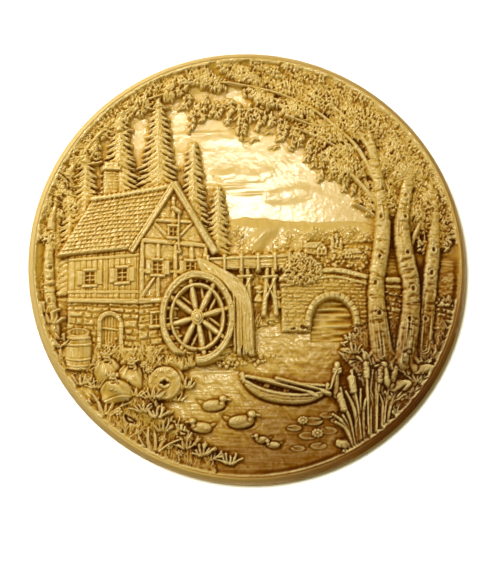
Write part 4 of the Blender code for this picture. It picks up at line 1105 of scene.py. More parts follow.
# boat at its mooring
def boat(cx, cz, half, turn):
    c, s = math.cos(math.radians(turn)), math.sin(math.radians(turn))
    w = window(cx - half * 1.2, cx + half * 1.2, cz - half * 0.6, cz + half * 0.6)
    x, z = X[w], Z[w]
    u, v = ((x - cx) * c + (z - cz) * s) / half, -(x - cx) * s + (z - cz) * c
    beam = 4.6 * np.clip(1 - np.abs(np.where(u < 0, u, u * 0.92)) ** 2.3, 0, 1) ** 0.75
    sheer = 2.6 * u * u + 0.5 * u
    up, low = 2.6 + sheer + 0.45 * beam, 1.6 + sheer - 0.85 * beam
    keel = low - 5.2 * np.clip(1 - np.abs(u * 1.02) ** 3.2, 0, 1) ** 0.6
    inside_u = (1 - np.abs(u)) * half
    H[w] -= 0.9 * np.exp(-(((v - keel + 0.3) / 1.3) ** 2)) * (np.abs(u) < 0.95)  # shadow on the water
    hull = np.minimum(np.minimum(low - v + 0.6, v - keel), inside_u)
    q = np.clip((low - v) / np.maximum(low - keel, 0.5), 0, 1)
    strake = np.abs((q * 3.0) % 1)
    over(w, hull, 17.2 + 1.6 * np.sqrt(np.clip(1 - q * q, 0, 1)) + 0.35 * (1 - strake) * (q < 0.98) + 0.08 * at(LONG_X, x, z), 0.22, 0.8)
    well = np.minimum(np.minimum(up - v, v - low), inside_u - 0.4)
    depth = 16.1 + 0.12 * at(LONG_X, x, z) + 0.45 * smooth(0.55, 1.0, np.abs((u * 9) % 1 - 0.5) * 2)
    over(w, well, depth, 0.2, 0.2)
    for seat in (-0.45, 0.02, 0.5):
        bench = np.minimum(1.5 - np.abs((u - seat) * half - 0.35 * (v - low)), well + 0.3)
        over(w, bench, 17.6 + 0.1 * at(LONG_X, x, z), 0.18, 0.4)
    for line, top in ((up, 18.3), (low, 19.0)):
        rail = np.minimum(0.75 - np.abs(v - line), (1.01 - np.abs(u)) * half)
        over(w, rail, top + 0.35 * np.sqrt(np.clip(1 - ((v - line) / 0.75) ** 2, 0, 1)), 0.18, 0.4)
    for tip in (-0.99, 0.99):
        tx, tz = cx + tip * half * c - (2.1 + 2.6 + 0.5 * tip) * s, cz + tip * half * s + (2.1 + 2.6 + 0.5 * tip) * c
        draw([(tx, tz + 1.6, 0.9), (tx - tip * 1.2, tz - 2.4, 0.8)], 18.4, 0.9, groove=0.4, per=1)
    def pt(a, b):
        return cx + a * half * c - b * s, cz + a * half * s + b * c
    for (a0, b0), (a1, b1) in (((-0.62, 4.6), (0.55, 1.2)), ((-0.2, 6.2), (0.82, 3.6))):  # oars laid in
        p0, p1 = pt(a0, b0), pt(a1, b1)
        draw([(p0[0], p0[1], 0.55), (p1[0], p1[1], 0.45)], 19.0, 0.7, groove=0.4, per=1)
        draw([(p1[0], p1[1], 0.6), (p1[0] + 2.6 * c, p1[1] + 2.6 * s - 0.9, 1.15), (p1[0] + 5.6 * c, p1[1] + 5.6 * s - 1.8, 0.7)], 19.1, 0.5, groove=0.4, flat=0.5)


draw([(52, -78, 1.9), (51.7, -68, 1.8), (52.5, -59.5, 1.7)], 16.4, 1.6, groove=0.7)
draw([(50.6, -62.4, 0.55), (52.4, -63.0, 0.55), (54.2, -62.2, 0.55)], 18.0, 0.6, groove=0.3)
draw([(50.6, -63.9, 0.55), (52.4, -64.5, 0.55), (54.2, -63.7, 0.55)], 18.0, 0.6, groove=0.3)
boat(21.0, -75.0, 25.5, -8)
draw([(46, -74.5, 0.4), (48.5, -73.0, 0.4), (50.6, -66.5, 0.4), (52, -63.5, 0.4)], 18.4, 0.6, groove=0.35)


def ring_ripples(cx, cz, r0, count, squash=0.34, amp=0.28):
    w = window(cx - r0 * count, cx + r0 * count, cz - r0 * count, cz + r0 * count)
    k = np.hypot(X[w] - cx, (Z[w] - cz) / squash)
    fade = smooth(r0 * count, r0, k)
    H[w] += amp * np.cos((k - r0) / r0 * 2 * math.pi * 1.1) * fade * smooth(r0 * 0.6, r0 * 0.9, k)


def bird_body(cx, cz, s, way, d, neck=0.0, turn=8):
    """A water bird: body with scalloped wing, tail, neck, head and bill."""
    w = window(cx - 12 * s, cx + 12 * s, cz - 8 * s, cz + 8 * s + neck)
    x, z = X[w], Z[w]
    sd, u, v, k = egg(x, z, cx, cz, 6.6 * s, 3.3 * s, turn * way)
    tail = egg(x, z, cx - way * 6.4 * s, cz + (1.3 * s if neck == 0 else 0.4 * s), 2.8 * s, 1.05 * s, -28 * way)[0]
    both = np.maximum(sd, tail)
    over(w, both, d + 2.3 * s * np.sqrt(np.clip(1 - np.clip(k, 0, 1) ** 2, 0, 1)) + 0.35, 0.22, 0.9, 0.6)
    wing, wu, wv, wk = egg(x, z, cx - way * 1.4 * s, cz + 0.5 * s, 4.7 * s, 2.15 * s, (turn - 2) * way)
    scallop = np.abs(((wu * -way * 2.6 + 0.9 * np.abs(wv)) % 1) - 0.5) * 2
    over(w, wing, d + 2.1 * s * np.sqrt(np.clip(1 - 0.55 * wk**2, 0, 1)) + 0.75 - 0.3 * smooth(0.7, 1.0, scallop), 0.2, 0.4)
    hx, hz = cx + way * 5.3 * s, cz + 3.8 * s
    if neck:
        hx, hz = cx + way * 8.2 * s, cz + 3.8 * s + neck
        draw([(cx + way * 4.4 * s, cz + 0.6 * s, 2.5 * s), (cx + way * 6.6 * s, cz + 2.8 * s, 1.7 * s), (cx + way * 7.0 * s, cz + 2.8 * s + neck * 0.6, 1.15 * s), (hx - way * 0.4 * s, hz, 1.2 * s)], d + 0.7, 1.7 * s, groove=0.5)
    else:
        draw([(cx + way * 4.4 * s, cz + 1.0 * s, 1.5 * s), (hx, hz - 0.6 * s, 1.2 * s)], d + 0.9, 1.3 * s, groove=0.45, per=1)
    w = window(hx - 6 * s, hx + 6 * s, hz - 5 * s, hz + 5 * s)
    sd, u, v, k = egg(X[w], Z[w], hx, hz, 2.05 * s, 1.75 * s)
    draw([(hx + way * 1.5 * s, hz - 0.1 * s, 0.75 * s), (hx + way * 4.1 * s, hz - 0.6 * s, 0.34 * s)], d + 1.0, 0.8 * s, groove=0.35, per=1)
    over(w, sd, d + 1.0 + 1.7 * s * np.sqrt(np.clip(1 - np.clip(k, 0, 1) ** 2, 0, 1)), 0.2, 0.5)
    over(w, 0.36 * s - np.hypot(X[w] - hx - way * 0.7 * s, Z[w] - hz - 0.35 * s), d + 1.6, 0.15)


for cx, cz, s, way in ((-20, -84, 1.0, 1), (-4, -93.5, 1.15, 1), (-27.5, -97, 0.95, -1), (8, -104, 0.62, -1), (14.5, -107, 0.62, -1)):
    ring_ripples(cx, cz - 1.5 * s, 4.2 * s, 3)
    bird_body(cx, cz, s, way, 16.2 + 0.010 * (-cz - 80))
for cx, cz, s in ((89, -72, 1.15), (102.5, -62, 0.95)):
    bird_body(cx, cz, s, -1, 18.6, neck=6.8 * s, turn=-10)
    for leg in (-0.8, 1.4):
        draw([(cx + leg * s, cz - 2.8 * s, 0.5 * s), (cx + leg * s - 0.3, cz - 5.6 * s, 0.45 * s)], 18.4, 0.6, groove=0.3, per=1)
for cx, cz in ((86, -80), (92, -80), (99, -70), (106, -69), (96, -76)):
    tuft(cx, cz, 8, 2.6, lift=0.4)


# lily pads, reeds and flowers
def lily(cx, cz, r, notch):
    w = window(cx - r * 1.4, cx + r * 1.4, cz - r, cz + r)
    x, z = X[w], Z[w]
    u, v = (x - cx) / r, (z - cz) / (r * 0.42)
    k, t = np.hypot(u, v), np.arctan2(v, u)
    cut = np.abs((t - notch + math.pi) % (2 * math.pi) - math.pi)
    sd = np.minimum((1 - k) * r * 0.55, (cut - 0.22) * k * r * 0.5)
    veins = 0.18 * smooth(0.75, 1.0, np.abs((t / math.pi * 6) % 1 - 0.5) * 2) * smooth(0.15, 0.4, k)
    over(w, sd, 16.75 + 0.008 * (-cz - 80) + 0.35 * k**2 - veins, 0.2, 0.4)


for cx, cz, r, notch in ((38, -93, 5.6, 0.4), (47, -98.5, 5.0, 2.2), (35, -101.5, 5.2, -0.6), (46, -89.5, 4.0, 1.2), (27, -97, 4.2, 3.0), (41, -107.5, 4.6, 0.9), (29, -109, 4.0, 2.6), (52, -92.5, 3.6, -1.0)):
    lily(cx, cz, r, notch)


def blossom(cx, cz, r, d, petals=8, stretch=1.0):
    for i in range(petals):
        t = 2 * math.pi * i / petals
        px, pz = cx + 0.55 * r * math.cos(t), cz + 0.55 * r * stretch * math.sin(t)
        draw([(cx + 0.2 * r * math.cos(t), cz + 0.2 * r * stretch * math.sin(t), 0.24 * r), (cx + r * math.cos(t), cz + r * stretch * math.sin(t), 0.34 * r)], d, 0.45, edge=0.15, groove=0.22, per=1)
    w = window(cx - r, cx + r, cz - r, cz + r)
    k = np.hypot(X[w] - cx, (Z[w] - cz) / stretch)
    over(w, 0.36 * r - k, d + 0.5 + 0.5 * np.sqrt(np.clip(1 - (k / (0.4 * r)) ** 2, 0, 1)), 0.15, 0.3)


for cx, cz, r in ((40.5, -100, 2.5), (32, -92.5, 2.2)):
    blossom(cx, cz, r, 17.6, 9, 0.7)
for x0, z0, lean, tall, seed in ((66, -103, -5, 34, 1), (70.5, -100, -1, 40, 2), (75, -98, 3, 35, 3), (79.5, -94, 7, 31, 4), (62.5, -107, -8, 27, 5)):
    r = np.random.default_rng(seed + 60)
    for i in range(5):  # long leaves
        t = r.uniform(-1, 1)
        tip = tall * r.uniform(0.6, 1.0)
        draw([(x0 + t * 1.5, z0 - 1, 0.9), (x0 + t * 3.5 + lean * 0.3, z0 + tip * 0.55, 0.85), (x0 + t * 9 + lean * 0.6, z0 + tip - abs(t) * 4, 0.2)], 18.0 + 0.15 * i, 0.85, groove=0.45)
    draw([(x0, z0, 0.6), (x0 + lean * 0.35, z0 + tall * 0.55, 0.55), (x0 + lean, z0 + tall, 0.5)], 18.9, 0.7, groove=0.4)
    hx, hz = x0 + lean * 0.93, z0 + tall * 0.93
    w = window(hx - 4, hx + 4, hz - 8, hz + 8)
    sd, u, v, k = egg(X[w], Z[w], hx, hz, 1.75, 5.2, -lean * 1.6)
    capsule = 1.75 - np.hypot(X[w] - hx - np.clip(Z[w] - hz, -3.6, 3.6) * lean / tall, Z[w] - hz - np.clip(Z[w] - hz, -3.6, 3.6))
    over(w, capsule, 18.9 + 1.5 * np.sqrt(np.clip(1 - np.clip(1 - capsule / 1.75, 0, 1) ** 2, 0, 1)) + 0.12 * at(G03, X[w], Z[w]), 0.2, 0.6)
    draw([(hx, hz + 5, 0.32), (hx + lean * 0.1, hz + 8.2, 0.22)], 18.8, 0.5, groove=0.25, per=1)
flower_bed = [(-114, -42), (-110, -47), (-113, -52), (-58, -63.5), (-61, -60.5), (-100, -77), (-95, -83), (-104, -70), (-89, -88), (-81, -95), (-86, -98), (-72, -101), (-76, -88), (-64, -100), (-58, -106), (-50, -104), (-46, -108),
              (-66, -108), (-40, -112), (-90, -80), (113, -52), (108, -46), (116, -44), (97, -84), (91, -90), (84, -97), (79, -103), (104, -78), (72, -108), (110, -62), (64, -111), (88, -101)]
for n, (cx, cz) in enumerate(flower_bed):
    if math.hypot(cx, cz) < 120:
        g = ground(cx, cz)
        draw([(cx, cz - 4.5, 0.3), (cx + 0.5 * math.sin(n), cz - 0.5, 0.28)], g + 0.6, 0.5, groove=0.2, per=1, mode=proud)
        blossom(cx, cz, (1.55 + 0.35 * math.sin(n * 2.3)) * (1 + 0.004 * (-cz - 50)), g + 1.0, 7 + n % 3, 0.85)
for k in range(70):  # seeds and clover between the flowers
    a, b = rng.uniform(-112, -40), rng.uniform(-118, -62)
    if in_left(a, b) and math.hypot(a, b) < 121 and not path_mask(a, b):
        strike(DOMES[0.6][k % 6], a, b, height_at(a, b) + 0.1)
for cx, cz, n in ((-116, -36, 10), (-118, -30, 10), (-72, -104, 14), (-84, -90, 12), (-55, -111, 16), (-96, -72, 10), (-108, -56, 9), (84, -104, 14), (100, -86, 12), (112, -66, 12), (72, -113, 14), (118, -38, 10)):
    tuft(cx, cz, n, 3.8, big=n > 11, lift=0.5)

# ---- draft: every upright side leans a little, as a mould needs ----------------------------------------------------------
DRAFT = 2.3
for _ in range(11):
    for dj, di in ((0, 1), (0, -1), (1, 0), (-1, 0)):
        H = np.maximum(H, np.roll(H, (dj, di), (0, 1)) - DRAFT * PITCH)
    for dj, di in ((1, 1), (1, -1), (-1, 1), (-1, -1)):
        H = np.maximum(H, np.roll(H, (dj, di), (0, 1)) - DRAFT * PITCH * 1.41)

# ---- the rim's hollow closes the picture --------------------------------------------------------------------------------
rim = dish(R)
broad = blur(np.maximum(H - rim, 0), 4.0)
spare = 1.2 + 3.6 * smooth(125.5, 112.0, R)
H = np.where(R > 105, H - np.clip(broad - spare * 0.8, 0, 99) * smooth(106, 114, R), H)
raised = np.maximum(H - rim, -1.0 + 0.95 * smooth(112.0, 121.0, R))
FOLD = 123.6  # past this the carving climbs the rim's inner wall, as its own mirror image
inward = np.where(R > FOLD, (2 * FOLD - R) / np.maximum(R, 1), 1.0)
raised = np.where(R > FOLD, at(raised, X * inward, Z * inward), raised)
H = np.where(R > 112, rim + raised * smooth(127.0, 125.9, R) ** 0.7, H)
H = np.where(R > 121, np.minimum(H, 20.15 + 0.12 * G1 * smooth(126.6, 125.5, R)), H)
# the ground climbs to the rim in one easy curve, and takes the carving up with it
CLIMB = np.interp(R, [104, 110, 114, 118, 121.5, 124.2, 125.3, 126.1, 126.6], [0, 0.5, 1.3, 2.5, 3.7, 3.8, 2.7, 0.6, 0]).astype(np.float32)
CLIMB *= np.clip((20.4 - blur(H, 2.2)) / (20.4 - np.minimum(rim, 20.0)), 0, 1) * (R < 126.6)
H = H + CLIMB
H = np.where(R > 119, np.minimum(H, 20.2 + 0.12 * G1 * smooth(126.6, 125.5, R)), H)
quiet = 1 - 0.75 * smooth(20, 30, Z) * smooth(14.6, 13.6, H - CLIMB)
H += (0.030 * G05 + 0.028 * G1 + 0.026 * G2) * quiet * (1 - smooth(124.6, 126.8, R))  # the cast surface is never quite smooth
broken = smooth(0.10, 0.38, blur(np.abs(H - blur(H, 0.9)), 1.6))
H += broken * (0.055 * G03 + 0.050 * G05) * (1 - smooth(124.6, 126.4, R))
H = blur(H, 0.12)
H = np.where(R > 126.6, rim, H).astype(np.float32)
# ---- relief: end -----------------------------------------------------------------------------------------------------

# ---- patina: where the brown wash lies and where it was rubbed off, with painted shade at the lower right and a painted highlight on the rim's crest ---
H = np.maximum(H, dish(R) - 1.4).astype(np.float32)
WASH_AND_SHADE = np.zeros_like(H)
RUB = np.zeros_like(H)
CARVED = H - CLIMB - 0.85 * dish(np.minimum(R, RIM_R)).astype(np.float32)


def spread(field, steps, pick_):
    """Repeated neighbour maximum (or minimum) over a growing octagon."""
    for k in range(steps):
        for dj, di in ((0, 1), (0, -1), (1, 0), (-1, 0)) if k % 3 else ((1, 1), (1, -1), (-1, 1), (-1, -1)):
            field = pick_(field, np.roll(field, (dj, di), (0, 1)))
    return field


for steps, weight, top in ((2, 0.30, 0.6), (5, 0.24, 1.2), (12, 0.14, 2.6)):  # narrow cuts, then wider gaps
    gap = spread(spread(CARVED, steps, np.maximum), steps, np.minimum) - CARVED
    WASH_AND_SHADE += weight * np.clip(gap, 0, top)
for size, weight, top in ((0.35, 0.42, 0.45), (0.8, 0.30, 0.7), (2.0, 0.16, 1.2)):
    lift = CARVED - blur(CARVED, size)
    WASH_AND_SHADE += weight * np.clip(-lift, 0, top)
    RUB += (weight + 0.4) * np.clip(lift, 0, top)
gz, gx = np.gradient(H, PITCH)
SLOPE = np.hypot(gx, gz)
WASH_AND_SHADE += 0.05 * smooth(0.5, 2.5, SLOPE)
# laid on by hand: heavier towards the foot and the right-hand side
# painted shade: the wash is made heavier towards the foot and the lower right, away from the key lamp at the upper
# left, and a little thinner round the middle
lower_right = 0.7 * (X - Z)
WASH_AND_SHADE *= 0.64 + 0.46 * smooth(14, 105, lower_right)
WASH_AND_SHADE *= 1 - 0.6 * smooth(18, 30, Z) * smooth(1.6, 0.7, H - CLIMB - dish(R))  # the sky was wiped nearly clean
WASH_AND_SHADE += 0.33 * smooth(30, 108, lower_right) + 0.10 * smooth(-62, -112, Z) - 0.05 * smooth(85, 20, np.hypot(X - 30, Z))
WASH_AND_SHADE *= 1 - 0.5 * smooth(123.5, 125.5, R)  # the rim was wiped, but painted shade stays on its lower right
# painted shade on the rim's lower right, which faces away from the key lamp
WASH_AND_SHADE += 0.60 * np.exp(-(((np.degrees(np.arctan2(-Z, X)) - 46) / 32) ** 2)) * smooth(121.5, 124.5, R)
WASH_AND_SHADE = blur(WASH_AND_SHADE, 0.22).astype(np.float32)
RUB = blur(RUB, 0.12).astype(np.float32)

# ---- the carved picture as mesh, in five bands that share their edges --------------------------------------------------
QUADS = 640
BAND = 128
COARSE = 16
a = np.linspace(-1, 1, QUADS + 1)
A, B = np.meshgrid(a, a)
wide_ = np.abs(A) > np.abs(B)
with np.errstate(divide="ignore", invalid="ignore"):
    rad_ = np.where(wide_, A, B)
    phi = np.where(wide_, math.pi / 4 * B / np.where(wide_, A, 1), math.pi / 2 - math.pi / 4 * A / np.where(wide_ | (B == 0), 1, B))
PX, PZ = RIM_R * rad_ * np.cos(phi), RIM_R * rad_ * np.sin(phi)
PR = np.hypot(PX, PZ)
PD = np.where(PR > 126.6, dish(PR), at(H, PX, PZ))
NX, NZ = at(gx, PX, PZ), at(gz, PX, PZ)
edge_slope = (dish(PR + 0.05) - dish(PR - 0.05)) / 0.1
outer = PR > 126.6
NX, NZ = np.where(outer, edge_slope * PX / np.maximum(PR, 1), NX), np.where(outer, edge_slope * PZ / np.maximum(PR, 1), NZ)
V_WASH_AND_SHADE, V_RUB_AND_HIGHLIGHT = at(WASH_AND_SHADE, PX, PZ), at(RUB, PX, PZ)
V_RUB_AND_HIGHLIGHT = V_RUB_AND_HIGHLIGHT + (0.25 + 0.35 * (0.5 - 0.5 * PX / 127)) * np.exp(-(((PR - 126.8) / 0.55) ** 2)) * (1 - 0.9 * np.exp(-(((np.degrees(np.arctan2(-PZ, PX)) - 46) / 34) ** 2)))  # painted highlight along the crest, brighter on the left toward the key lamp and faint at the lower right


def carved_band(name, row0, row1):
    """One band of the picture: fine front, short sides and a coarse back, closed all round."""
    n, m = row1 - row0 + 1, QUADS + 1
    s = slice(row0, row1 + 1)
    front = np.stack([PX[s], -PD[s], PZ[s] + PLATE_Z], axis=-1).reshape(-1, 3) / 1000
    normals = np.stack([-NX[s], -np.ones_like(NX[s]), -NZ[s]], axis=-1).reshape(-1, 3)
    idx = np.arange(n * m).reshape(n, m)
    quads = np.stack([idx[:-1, :-1], idx[:-1, 1:], idx[1:, 1:], idx[1:, :-1]], axis=-1).reshape(-1, 4)
    # back: all points of the boundary, and a coarse net inside
    keep = np.zeros((n, m), bool)
    keep[0], keep[-1], keep[:, 0], keep[:, -1] = True, True, True, True
    keep[::COARSE, ::COARSE] = True
    back_idx = np.full((n, m), -1)
    back_idx[keep] = n * m + np.arange(keep.sum())
    back = np.stack([PX[s], -(dish(PR[s]) - 2.0), PZ[s] + PLATE_Z], axis=-1)[keep] / 1000
    faces = []
    for j in range(0, n - 1, COARSE):
        for i in range(0, m - 1, COARSE):
            ring = [(j, c) for c in range(i, i + COARSE)] + [(c, i + COARSE) for c in range(j, j + COARSE)]
            ring += [(j + COARSE, c) for c in range(i + COARSE, i, -1)] + [(c, i) for c in range(j + COARSE, j, -1)]
            faces.append([int(back_idx[q]) for q in ring if back_idx[q] >= 0][::-1])
    border = [(0, c) for c in range(m - 1)] + [(c, m - 1) for c in range(n - 1)] + [(n - 1, c) for c in range(m - 1, 0, -1)] + [(c, 0) for c in range(n - 1, 0, -1)]
    for p, q in zip(border, border[1:] + border[:1]):
        faces.append([int(idx[q]), int(idx[p]), int(back_idx[p]), int(back_idx[q])])
    verts = np.concatenate([front, back])
    loops = np.concatenate([quads.ravel(), np.concatenate([np.array(f) for f in faces])]).astype(np.int32)
    sizes = np.concatenate([np.full(len(quads), 4), np.array([len(f) for f in faces])]).astype(np.int32)
    mesh = bpy.data.meshes.new(name)
    mesh.vertices.add(len(verts))
    mesh.vertices.foreach_set("co", verts.astype(np.float32).ravel())
    mesh.loops.add(len(loops))
    mesh.loops.foreach_set("vertex_index", loops)
    mesh.polygons.add(len(sizes))
    mesh.polygons.foreach_set("loop_start", np.concatenate([[0], np.cumsum(sizes)[:-1]]).astype(np.int32))
    mesh.polygons.foreach_set("use_smooth", np.ones(len(sizes), bool))
    mesh.update(calc_edges=True)
    extra = len(back)
    for label, values in (("wash_and_shade", V_WASH_AND_SHADE), ("rub_and_highlight", V_RUB_AND_HIGHLIGHT)):
        layer = mesh.attributes.new(label, "FLOAT", "POINT")
        layer.data.foreach_set("value", np.concatenate([values[s].ravel(), np.full(extra, 0.1)]).astype(np.float32))
    normals = np.concatenate([normals, np.tile([0.0, 1.0, 0.0], (extra, 1))])
    normals /= np.linalg.norm(normals, axis=1, keepdims=True)
    mesh.normals_split_custom_set_from_vertices(normals.astype(np.float32).tolist())
    obj = bpy.data.objects.new(name, mesh)
    bpy.context.scene.collection.objects.link(obj)
    return obj


BANDS = ["picture_foot", "picture_river", "picture_middle", "picture_sky", "picture_crown"]
pictures = [carved_band(name, i * BAND, (i + 1) * BAND) for i, name in enumerate(BANDS)]

# ---- the turned body: rim roll, back, foot ring and wire holes ----------------------------------------------------------
STEPS = 288
FOOT_MID = 80.0


def fillet(points, r, n=4):
    """Round each inner corner of an open profile by r millimetres."""
    out = [points[0]]
    for p, c, q in zip(points, points[1:], points[2:]):
        p, c, q = (np.array(v, float) for v in (p, c, q))
        a, b = p - c, q - c
        la, lb = np.linalg.norm(a), np.linalg.norm(b)
        cut = min(r, la * 0.45, lb * 0.45)
        s, e = c + a / la * cut, c + b / lb * cut
        for i in range(n + 1):
            t = i / n
            out.append(tuple((1 - t) ** 2 * s + 2 * t * (1 - t) * c + t * t * e))
    return out + [points[-1]]


crest_d = float(dish(RIM_R))
roll = [(RIM_R - 0.03, crest_d), (127.35, 20.3), (127.8, 20.0), (128.3, 19.5), (128.9, 18.8), (129.4, 18.0), (129.8, 17.1), (130.0, 16.3), (129.95, 15.9), (129.6, 15.6)]
behind = [(129.6, 15.6), (126.0, 13.2), (120.0, 11.0), (108.0, 8.5), (96.0, 6.7), (86.5, 5.4), (84.0, 4.3), (83.8, 0.0), (76.2, 0.0), (76.0, 5.0), (72.0, 5.0), (64.0, 5.0), (40.0, 5.0), (0.0, 5.0)]
inner = [(0.0, float(dish(0.0)) - 2.15)] + [(r, float(dish(r)) - 2.15) for r in (30, 60, 80, 92, 100, 106, 110, 114, 117, 120, 122, 123.5, 125, 126.0)] + [(RIM_R - 0.03, crest_d - 1.9)]
outline = roll[:-1] + fillet(behind, 1.3, 4)
profile = inner + outline  # from the hidden front's centre out, over the rim, and in to the back's centre


def turned_body(name):
    pts = np.array(profile)
    n = len(pts)
    t = np.arange(STEPS) * 2 * math.pi / STEPS
    rings = pts[1:-1]
    verts = [(0.0, -pts[0, 1], PLATE_Z)] + [(r * math.sin(q), -d, r * math.cos(q) + PLATE_Z) for r, d in rings for q in t] + [(0.0, -pts[-1, 1], PLATE_Z)]
    faces = [(0, 1 + k, 1 + (k + 1) % STEPS) for k in range(STEPS)]
    for j in range(len(rings) - 1):
        o, p = 1 + j * STEPS, 1 + (j + 1) * STEPS
        faces += [(o + k, p + k, p + (k + 1) % STEPS, o + (k + 1) % STEPS) for k in range(STEPS)]
    last, o = len(verts) - 1, 1 + (len(rings) - 1) * STEPS
    faces += [(last, o + (k + 1) % STEPS, o + k) for k in range(STEPS)]
    mesh = bpy.data.meshes.new(name)
    mesh.from_pydata(verts, [], faces)
    mesh.update()
    obj = bpy.data.objects.new(name, mesh)
    bpy.context.scene.collection.objects.link(obj)
    return obj


body = turned_body("plate_body")
for side in (-1, 1):
    t = math.radians(90 + side * 14.0)
    bpy.ops.mesh.primitive_cylinder_add(vertices=24, radius=1.3, depth=16)
    drill = bpy.context.object
    drill.rotation_euler = (0, math.radians(90) - t, 0)
    drill.location = (FOOT_MID * math.cos(t), -2.5, FOOT_MID * math.sin(t) + PLATE_Z)
    cut = body.modifiers.new("wire_hole", "BOOLEAN")
    cut.operation, cut.solver, cut.object = "DIFFERENCE", "EXACT", drill
    bpy.context.view_layer.update()
    mesh = bpy.data.meshes.new_from_object(body.evaluated_get(bpy.context.evaluated_depsgraph_get()))
    body.modifiers.clear()
    body.data = mesh
    bpy.data.objects.remove(drill)
mesh = body.data
mesh.transform(Matrix.Scale(0.001, 4))
mesh.shade_smooth()
mesh.set_sharp_from_angle(angle=math.radians(34))
co = np.empty(len(mesh.vertices) * 3, np.float32)
mesh.vertices.foreach_get("co", co)
co = co.reshape(-1, 3) * 1000
br, bd = np.hypot(co[:, 0], co[:, 2] - PLATE_Z), -co[:, 1]
# darker in the foot ring's corners and along the underside of the rim's edge
wash_and_shade = 0.10 + 0.55 * np.exp(-(((br - 84.6) / 1.6) ** 2)) * (bd > 2) + 0.45 * np.exp(-(((br - 75.6) / 1.4) ** 2)) * (bd > 3) + 0.25 * np.exp(-(((bd - 15.8) / 0.6) ** 2)) * (br > 127)
turn = np.degrees(np.arctan2(-(co[:, 2] - PLATE_Z), co[:, 0]))  # below the right-hand end, degrees
# painted shade on the rim's lower right, which faces away from the key lamp
lower_right_shade = np.exp(-(((turn - 46) / 30) ** 2)) * (br > 118)
wash_and_shade += 0.46 * lower_right_shade
left = 0.5 - 0.5 * np.cos(np.radians(turn))
# painted shade: the rim's top is darker to the right and lighter to the left, toward the key lamp
wash_and_shade += (0.20 - 0.14 * left) * (br > 126.9) * (bd > 16)
# a painted highlight along the rim roll, brighter on the left toward the key lamp and faint in the lower-right shade;
# the foot ring's back face rubbed pale
rub_and_highlight = (0.55 * np.exp(-(((br - 127.6) / 1.6) ** 2)) * (bd > 16)) * (1 - 0.8 * lower_right_shade) * (0.2 + 0.8 * left) + 0.35 * (bd < 0.6)
for label, values in (("wash_and_shade", wash_and_shade), ("rub_and_highlight", rub_and_highlight)):
    layer = mesh.attributes.new(label, "FLOAT", "POINT")
    layer.data.foreach_set("value", values.astype(np.float32))

# ---- resin ----------------------------------------------------------------------------------------------------------------------
def node(tree, kind, **values):
    n = tree.nodes.new(kind)
    for key, value in values.items():
        if isinstance(value, dict):
            for socket, v in value.items():
                n.inputs[socket].default_value = v
        else:
            setattr(n, key, value)
    return n


def ramp(tree, fac, stops, interpolation="LINEAR"):
    n = tree.nodes.new("ShaderNodeValToRGB")
    n.color_ramp.interpolation = interpolation
    while len(n.color_ramp.elements) < len(stops):
        n.color_ramp.elements.new(0.5)
    for e, (p, c) in zip(n.color_ramp.elements, stops):
        e.position = p
        e.color = (*c, 1.0) if len(c) == 3 else c
    tree.links.new(fac, n.inputs["Fac"])
    return n.outputs["Color"]


def math_node(tree, op, a, b=None, clamp=False):
    n = tree.nodes.new("ShaderNodeMath")
    n.operation, n.use_clamp = op, clamp
    for k, v in enumerate((a, b)):
        if v is None:
            continue
        if isinstance(v, (int, float)):
            n.inputs[k].default_value = v
        else:
            tree.links.new(v, n.inputs[k])
    return n.outputs[0]


def noise(tree, coords, scale, detail=3.0, rough=0.55, distort=0.0):
    n = node(tree, "ShaderNodeTexNoise", inputs={"Scale": scale, "Detail": detail, "Roughness": rough, "Distortion": distort})
    tree.links.new(coords, n.inputs["Vector"])
    return n.outputs["Fac"]


def mix_rgb(tree, kind, fac, a, b):
    n = tree.nodes.new("ShaderNodeMix")
    n.data_type, n.blend_type, n.clamp_factor = "RGBA", kind, True
    for socket, v in (("Factor", fac), ("A", a), ("B", b)):
        target = [i for i in n.inputs if i.name == socket and i.enabled][0] if socket != "Factor" else n.inputs[0]
        if isinstance(v, (int, float)):
            target.default_value = v
        elif isinstance(v, tuple):
            target.default_value = (*v, 1.0)
        else:
            tree.links.new(v, target)
    return [o for o in n.outputs if o.enabled][0]


